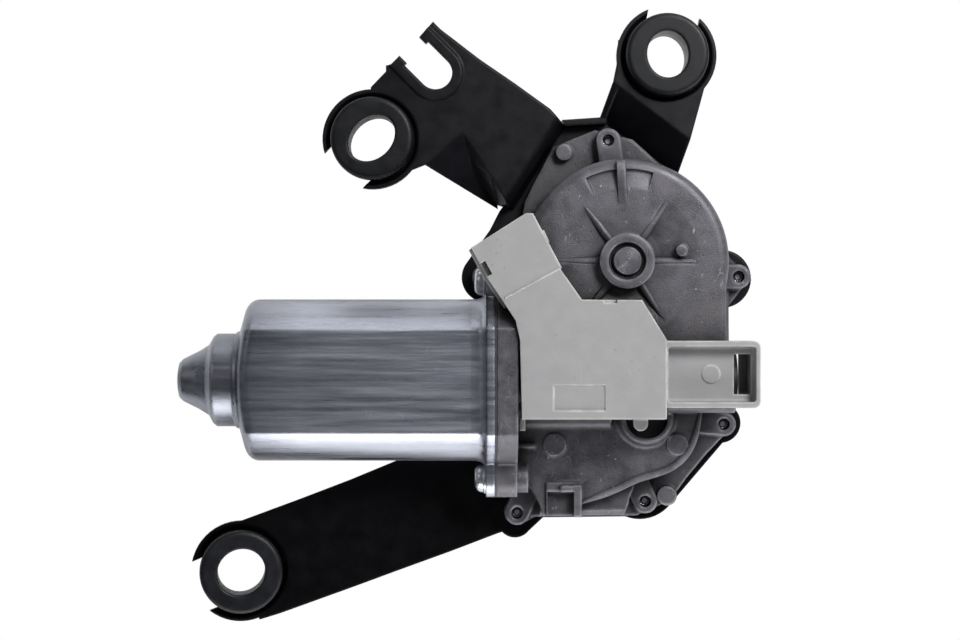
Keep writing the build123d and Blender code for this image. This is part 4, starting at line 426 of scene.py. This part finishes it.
def thread(bm, crest, root, pitch, bottom, top, steps=28):
    """Screw ridge wound round Z between bottom and top, with its foot sunk into the shank."""
    foot = root - 0.1
    section = ((foot, 0.06), (crest, 0.44), (crest, 0.56), (foot, 0.94))
    made = [bm.verts.new((r * MM, 0, (bottom + share * pitch) * MM)) for r, share in section]
    profile = bm.faces.new(made)
    turns = (top - bottom) / pitch - 1
    whole = int(turns * steps)
    bmesh.ops.spin(bm, geom=[profile] + made + list(profile.edges), axis=(0, 0, 1), cent=(0, 0, 0),
                   dvec=(0, 0, pitch * MM / steps), angle=2 * math.pi * whole / steps, steps=whole)


def piece(name, bm, slot, body="housing", replaces=None, matrix=None, sharp=32.0):
    """Makes a finished mesh a piece of the object; edges sharper than sharp degrees stay crisp."""
    if matrix is not None:
        bmesh.ops.transform(bm, matrix=matrix, verts=bm.verts)
    bmesh.ops.recalc_face_normals(bm, faces=bm.faces)
    mesh = bpy.data.meshes.new(name)
    bm.to_mesh(mesh)
    bm.free()
    for face in mesh.polygons:
        face.use_smooth = True
    mesh.set_sharp_from_angle(angle=math.radians(sharp))
    obj = bpy.data.objects.new(name, mesh)
    bpy.context.scene.collection.objects.link(obj)
    mesh.materials.append(LOOKS[slot])
    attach(obj, body)
    if replaces:
        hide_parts(replaces)


def bead(name, points, radius, slot, smooth=True):
    """Round ridge along (x, y, z, thickness share) points, half sunk in the face below it."""
    curve = bpy.data.curves.new(name, "CURVE")
    curve.dimensions = "3D"
    line = curve.splines.new("NURBS" if smooth else "POLY")
    line.points.add(len(points) - 1)
    for point, (x, y, z, share) in zip(line.points, points):
        point.co = (x * MM, y * MM, z * MM, 1)
        point.radius = share
    if smooth:
        line.use_endpoint_u = True
        line.order_u = 3
        line.resolution_u = 6
    curve.bevel_depth = radius * MM
    curve.bevel_resolution = 5
    curve.use_fill_caps = True
    helper = bpy.data.objects.new(name + "_line", curve)
    bpy.context.scene.collection.objects.link(helper)
    bpy.context.view_layer.update()
    shape = helper.evaluated_get(bpy.context.evaluated_depsgraph_get()).to_mesh()
    bm = bmesh.new()
    bm.from_mesh(shape)
    bpy.data.objects.remove(helper)
    bpy.data.curves.remove(curve)
    bmesh.ops.remove_doubles(bm, verts=bm.verts, dist=WELD)
    piece(name, bm, slot, sharp=60.0)


# Rubber mounts: two flanges, a neck that sits in the cup, and an oval hole with soft rims
PAD_Z = 12.0
LOWER_PAD_Z = 11.892
ARM_TILT = math.radians(7.0)
ARM_WAY = Vector((-0.958, -0.287)).normalized()
ARM_UP = (-ARM_WAY.x * math.sin(ARM_TILT), -ARM_WAY.y * math.sin(ARM_TILT), math.cos(ARM_TILT))
# place, upward direction, and the hole's two half widths and turn in degrees
MOUNTS = {
    "rubber_mount_ul": ((-85.9, 87.6, PAD_Z), (0, 0, 1), (8.1, 6.4, 45.0)),
    "rubber_mount_ur": ((7.3, 114.0, PAD_Z), (0, 0, 1), (7.35, 6.45, 95.0)),
    "rubber_mount_ll": ((-127.4, -49.2, LOWER_PAD_Z), ARM_UP, (7.6, 7.1, 30.0)),
}
RUBBER_OUTSIDE = [
    (11.2, -9.5), (12.0, -9.3), (12.45, -8.7), (12.5, -8.0), (12.5, -5.0), (12.4, -4.2), (11.9, -3.65),
    (11.0, -3.52), (9.8, -3.5), (9.8, -1.5), (12.0, -1.48), (12.8, -1.4), (13.05, -0.9), (13.08, 1.0),
    (13.1, 1.15), (13.08, 1.3), (13.05, 3.3), (12.9, 3.8), (12.6, 4.2), (12.2, 4.4), (11.8, 4.49),
    (11.5, 4.5), (11.2, 4.5), (9.6, 4.5)]
# the hole's profile has radii near 1, which the half widths then stretch
RUBBER_HOLE = [
    (1.13, 4.5), (1.09, 4.5), (1.07, 4.49), (1.03, 4.4), (1.005, 4.1), (1.0, 3.6), (1.0, -8.7),
    (1.015, -9.2), (1.06, -9.5)]
HOLE_LIMIT = 2.0  # every vertex closer to the axis than this belongs to the hole
for node, (place, up, (half_long, half_wide, turn_degrees)) in MOUNTS.items():
    bm = bmesh.new()
    lathe(bm, RUBBER_OUTSIDE + RUBBER_HOLE, sides=96, closed=True)
    turn = Matrix.Rotation(math.radians(turn_degrees), 4, "Z")
    oval = turn @ Matrix.Diagonal((half_long, half_wide, 1, 1)) @ turn.inverted()
    hole_verts = [v for v in bm.verts if v.co.xy.length < HOLE_LIMIT * MM]
    bmesh.ops.transform(bm, matrix=oval, verts=hole_verts)
    piece(node + "_moulded", bm, "rubber_black", replaces=node, matrix=upright(place, up), sharp=50.0)

# Output shaft: turned, with a ring groove, a serrated taper and a thread
SHAFT_PROFILE = [
    (0, 12.9), (5.4, 12.9), (6, 12.3), (6, -18.6), (5.4, -19.8), (5.4, -21.0), (6, -21.2), (6, -28.0),
    (5.55, -28.3), (4.7, -33.7), (4.7, -34.0), (3.35, -34.6), (3.35, -44.2), (2.9, -45.0), (0, -45.0)]
SERRATIONS = 48
SERRATION_DEPTH = 0.42
bm = bmesh.new()
lathe(bm, SHAFT_PROFILE, sides=64)
thread(bm, crest=4.0, root=3.4, pitch=1.25, bottom=-44.9, top=-34.4)
skin(bm, [lobed_ring(bm, radius - SERRATION_DEPTH, radius, z, sides=4 * SERRATIONS, lobes=SERRATIONS)
          for radius, z in ((6.0, -28.0), (5.0, -34.0))])
piece("output_shaft_turned", bm, "steel_plain", "output", "output_shaft")

# Cover screws: flanged heads with a six lobed recess on threaded shanks
COVER_SCREW_SPOTS = [(-11.0, 87.4), (30.4, 44.1), (25.7, -2.8), (0.7, -27.3), (-40.0, -31.0), (-50.3, 44.0)]
COVER_SCREW_SIDES = 72
COVER_RECESS_LOW, COVER_RECESS_HIGH = 1.45, 1.95
COVER_SCREW_PROFILE = [
    (2.3, -2.4), (2.75, -2.35), (3.1, -2.05), (3.15, -1.0), (3.5, -0.8), (3.8, -0.6), (3.8, -0.05),
    (3.7, 0.0), (1.5, 0.0), (1.5, 5.9), (0.9, 6.9)]
for number, (x, y) in enumerate(COVER_SCREW_SPOTS, start=1):
    bm = bmesh.new()
    recess = [lobed_ring(bm, COVER_RECESS_LOW + widening, COVER_RECESS_HIGH + widening, z,
                         COVER_SCREW_SIDES, lobes=6)
              for z, widening in ((-1.0, 0.0), (-2.25, 0.0), (-2.35, 0.12))]
    outside = [ring(bm, r, z, COVER_SCREW_SIDES) for r, z in COVER_SCREW_PROFILE]
    skin(bm, recess + outside, caps=True)
    thread(bm, crest=1.78, root=1.55, pitch=0.7, bottom=-0.4, top=6.9, steps=20)
    piece("cover_screw_%d" % number, bm, "steel_zinc", replaces="cover_screws",
          matrix=upright((x, y, 0), (0, 0, 1)))

# Can screws: domed heads with a cross recess, each on a washer
CAN_FACE = (-49.9, 11.7, 23.5)
CAN_SCREW_REACH = 30.6
CAN_SCREW_SIDES = 64
CAN_RECESS_LOW, CAN_RECESS_HIGH = 0.75, 2.2
CAN_SCREW_PROFILE = [
    (2.6, 3.58), (3.1, 3.42), (3.7, 3.0), (4.1, 2.4), (4.35, 1.6), (4.4, 0.85), (4.55, 0.8), (4.7, 0.74),
    (4.8, 0.6), (4.8, 0.12), (4.7, 0.0), (2.2, 0.0), (2.2, -10.6), (1.6, -11.0)]
for name, side in (("can_screw_upper", 1), ("can_screw_lower", -1)):
    bm = bmesh.new()
    recess = [lobed_ring(bm, CAN_RECESS_LOW + widening, CAN_RECESS_HIGH + widening, z,
                         CAN_SCREW_SIDES, lobes=4)
              for z, widening in ((1.9, -0.25), (3.5, 0.0), (3.6, 0.08))]
    outside = [ring(bm, r, z, CAN_SCREW_SIDES) for r, z in CAN_SCREW_PROFILE]
    skin(bm, recess + outside, caps=True)
    thread(bm, crest=2.48, root=2.2, pitch=0.8, bottom=-11.0, top=-3.6, steps=24)
    x, y, z = CAN_FACE
    piece(name, bm, "steel_zinc", replaces="can_screws",
          matrix=upright((x, y + side * CAN_SCREW_REACH, z), (-1, 0, 0)))

# Soft shoulder along the ridge of the lower floor, thinner at its ends
RIDGE = [
    (-20.0, -27.3), (-14.0, -25.2), (-8.2, -22.9), (-2.6, -20.0), (3.4, -18.4), (8.6, -16.5),
    (13.2, -12.4), (16.2, -5.6), (17.4, 2.6)]
RIDGE_SHIFT = (-0.35, 0.75)
SHOULDER_Z = 20.45
SHOULDER_RADIUS = 1.25
SHOULDER_END_SHARE = 0.5
shoulder = [(x + RIDGE_SHIFT[0], y + RIDGE_SHIFT[1], SHOULDER_Z, 1.0) for x, y in RIDGE]
for end in (0, -1):
    shoulder[end] = (*shoulder[end][:3], SHOULDER_END_SHARE)
bead("floor_shoulder", shoulder, SHOULDER_RADIUS, "cast_alu")

# Rounded edges of the spokes on the drum: angle in degrees and length of each
AXLE = Vector((-6.9, 48.3))
BOSS_RADIUS = 7.4
SPOKE_RADIUS = 1.5
SPOKE_START_Z, SPOKE_MIDDLE_Z, SPOKE_END_Z = 30.85, 30.82, 31.0
SPOKE_END_SHARE = 0.6
SPOKES = [(127.0, 23.5), (56.0, 23.5), (0.0, 21.5), (180.0, 22.5), (232.0, 20.0), (303.0, 20.5)]
for number, (angle, length) in enumerate(SPOKES, start=1):
    way = Vector((math.cos(math.radians(angle)), math.sin(math.radians(angle))))
    start, middle, end = (AXLE + way * reach for reach in (BOSS_RADIUS, 0.6 * length, length))
    line = [(*start, SPOKE_START_Z, 1.0), (*middle, SPOKE_MIDDLE_Z, 1.0),
            (*end, SPOKE_END_Z, SPOKE_END_SHARE)]
    bead("spoke_edge_%d" % number, line, SPOKE_RADIUS, "cast_alu")

# Step across the connector cover, a thin line that stands just proud of it
STEP_Z = 45.85
STEP_RADIUS = 0.36
bead("cover_step", [(-44.4, 36.8, STEP_Z, 1.0), (-27.6, 45.9, STEP_Z, 1.0)], STEP_RADIUS,
     "plastic_cream", smooth=False)

# Drawn radius where the can turns out into its flange, cut off at the can's two flats
CAN_RADIUS = 25.0
CAN_HALF_HEIGHT = 19.5
CAN_SIDES = 144
bm = bmesh.new()
loops = []
for height, growth in ((4.6, 0.03), (2.9, 0.12), (1.8, 0.42), (0.9, 1.0), (0.35, 1.7), (0.05, 2.6)):
    loop = ring(bm, CAN_RADIUS + growth, height, CAN_SIDES)
    flat = (CAN_HALF_HEIGHT + growth) * MM
    for v in loop:
        v.co.x = max(-flat, min(flat, v.co.x))
    loops.append(loop)
skin(bm, loops)
towards_nose = Matrix.Rotation(-math.pi / 2, 4, "Y")
piece("can_root_radius", bm, "can_zinc", matrix=Matrix.Translation(Vector(CAN_FACE) * MM) @ towards_nose)

# Turned end face of the wheel axle, with its centre dimple and tool rings
FACE_Z = 35.81
RING_Z = 35.73
RING_PITCH = 0.46
RINGS = 7
bm = bmesh.new()
face_profile = [(0, 35.74), (0.4, 35.76), (0.6, FACE_Z)]
for k in range(RINGS):
    outward = RING_PITCH * k
    face_profile += [(0.75 + outward, FACE_Z), (0.80 + outward, RING_Z), (0.98 + outward, RING_Z),
                     (1.03 + outward, FACE_Z)]
lathe(bm, face_profile + [(4.1, FACE_Z), (4.3, 35.65), (4.3, 35.55)], sides=64)
piece("axle_end_face", bm, "steel_plain", matrix=upright((*AXLE, 0), (0, 0, 1)))


# Floor and world, which the camera sees as plain white
FLOOR_HALF = 1.6
FLOOR_CENTRE = (-0.05, 0.03)
FLOOR_GAP = 0.0004
WORLD_LIGHT = 0.115


def white_to_camera(tree, seen_otherwise, seen_by_camera, surface):
    """Links a shader that the camera sees as the second one given and all else as the first."""
    ray = tree.nodes.new("ShaderNodeLightPath")
    mix = add_node(tree, "ShaderNodeMixShader", {
        "Fac": ray.outputs["Is Camera Ray"], 1: seen_otherwise, 2: seen_by_camera})
    link(tree, mix.outputs["Shader"], surface)


def floor_material():
    material = bpy.data.materials.new("floor_white")
    tree = tree_of(material)
    shader = tree.nodes["Principled BSDF"]
    shader.inputs["Base Color"].default_value = (0.9, 0.9, 0.9, 1)
    shader.inputs["Roughness"].default_value = 0.9
    glow = add_node(tree, "ShaderNodeEmission", {"Strength": 1.0})
    white_to_camera(tree, shader.outputs["BSDF"], glow.outputs["Emission"],
                    tree.nodes["Material Output"].inputs["Surface"])
    return material


bm = bmesh.new()
bmesh.ops.create_grid(bm, x_segments=1, y_segments=1, size=FLOOR_HALF)
bmesh.ops.translate(bm, verts=bm.verts, vec=(*FLOOR_CENTRE, cad_box[0][2] - FLOOR_GAP))
ground = bpy.data.meshes.new("floor")
bm.to_mesh(ground)
bm.free()
floor = bpy.data.objects.new("floor", ground)
bpy.context.scene.collection.objects.link(floor)
floor.data.materials.append(floor_material())

world = bpy.data.worlds.new("studio")
bpy.context.scene.world = world
world_tree = tree_of(world)
sky = world_tree.nodes["Background"]
sky.inputs["Color"].default_value = (0.9, 0.95, 1.0, 1)
sky.inputs["Strength"].default_value = WORLD_LIGHT
white = add_node(world_tree, "ShaderNodeBackground", {"Color": (1, 1, 1, 1), "Strength": 1.0})
white_to_camera(world_tree, sky.outputs[0], white.outputs[0],
                world_tree.nodes["World Output"].inputs["Surface"])


def lamp(name, place, aim, size, power):
    """Rectangular lamp with its size in metres, aimed at a point."""
    data = bpy.data.lights.new(name, "AREA")
    data.shape = "RECTANGLE"
    data.size, data.size_y = size
    data.energy = power
    obj = bpy.data.objects.new(name, data)
    obj.location = place
    obj.rotation_euler = (Vector(aim) - Vector(place)).to_track_quat("-Z", "Y").to_euler()
    bpy.context.scene.collection.objects.link(obj)


lamp("key", place=(0.37, 0.50, 0.77), aim=(0.0, 0.05, 0.0), size=(0.34, 0.34), power=8.8)
lamp("upper_strip", place=(-0.10, 0.80, 0.17), aim=(-0.09, 0.0, 0.02), size=(0.9, 0.11), power=0.95)
lamp("lower_strip", place=(-0.10, -0.64, 0.27), aim=(-0.09, 0.0, 0.02), size=(0.9, 0.44), power=4.8)
lamp("rim_right", place=(0.55, -0.42, 0.22), aim=(0.0, 0.0, 0.02), size=(0.30, 0.25), power=1.6)
lamp("left_fill", place=(-0.70, 0.35, 0.50), aim=(-0.05, 0.03, 0.0), size=(0.3, 0.3), power=0.35)

# Camera straight above the object, framed as the photograph is
VIEW_CENTRE = (-0.0518, 0.0303)
VIEW_HEIGHT = 0.625
view = bpy.data.cameras.new("photo_view")
view.lens = 72.6
view.sensor_width = 36.0
view.clip_start = 0.01
camera = bpy.data.objects.new("photo_view", view)
camera.location = (*VIEW_CENTRE, VIEW_HEIGHT)
bpy.context.scene.collection.objects.link(camera)
bpy.context.scene.camera = camera
bpy.context.scene.view_settings.view_transform = "Standard"

bpy.context.view_layer.update()
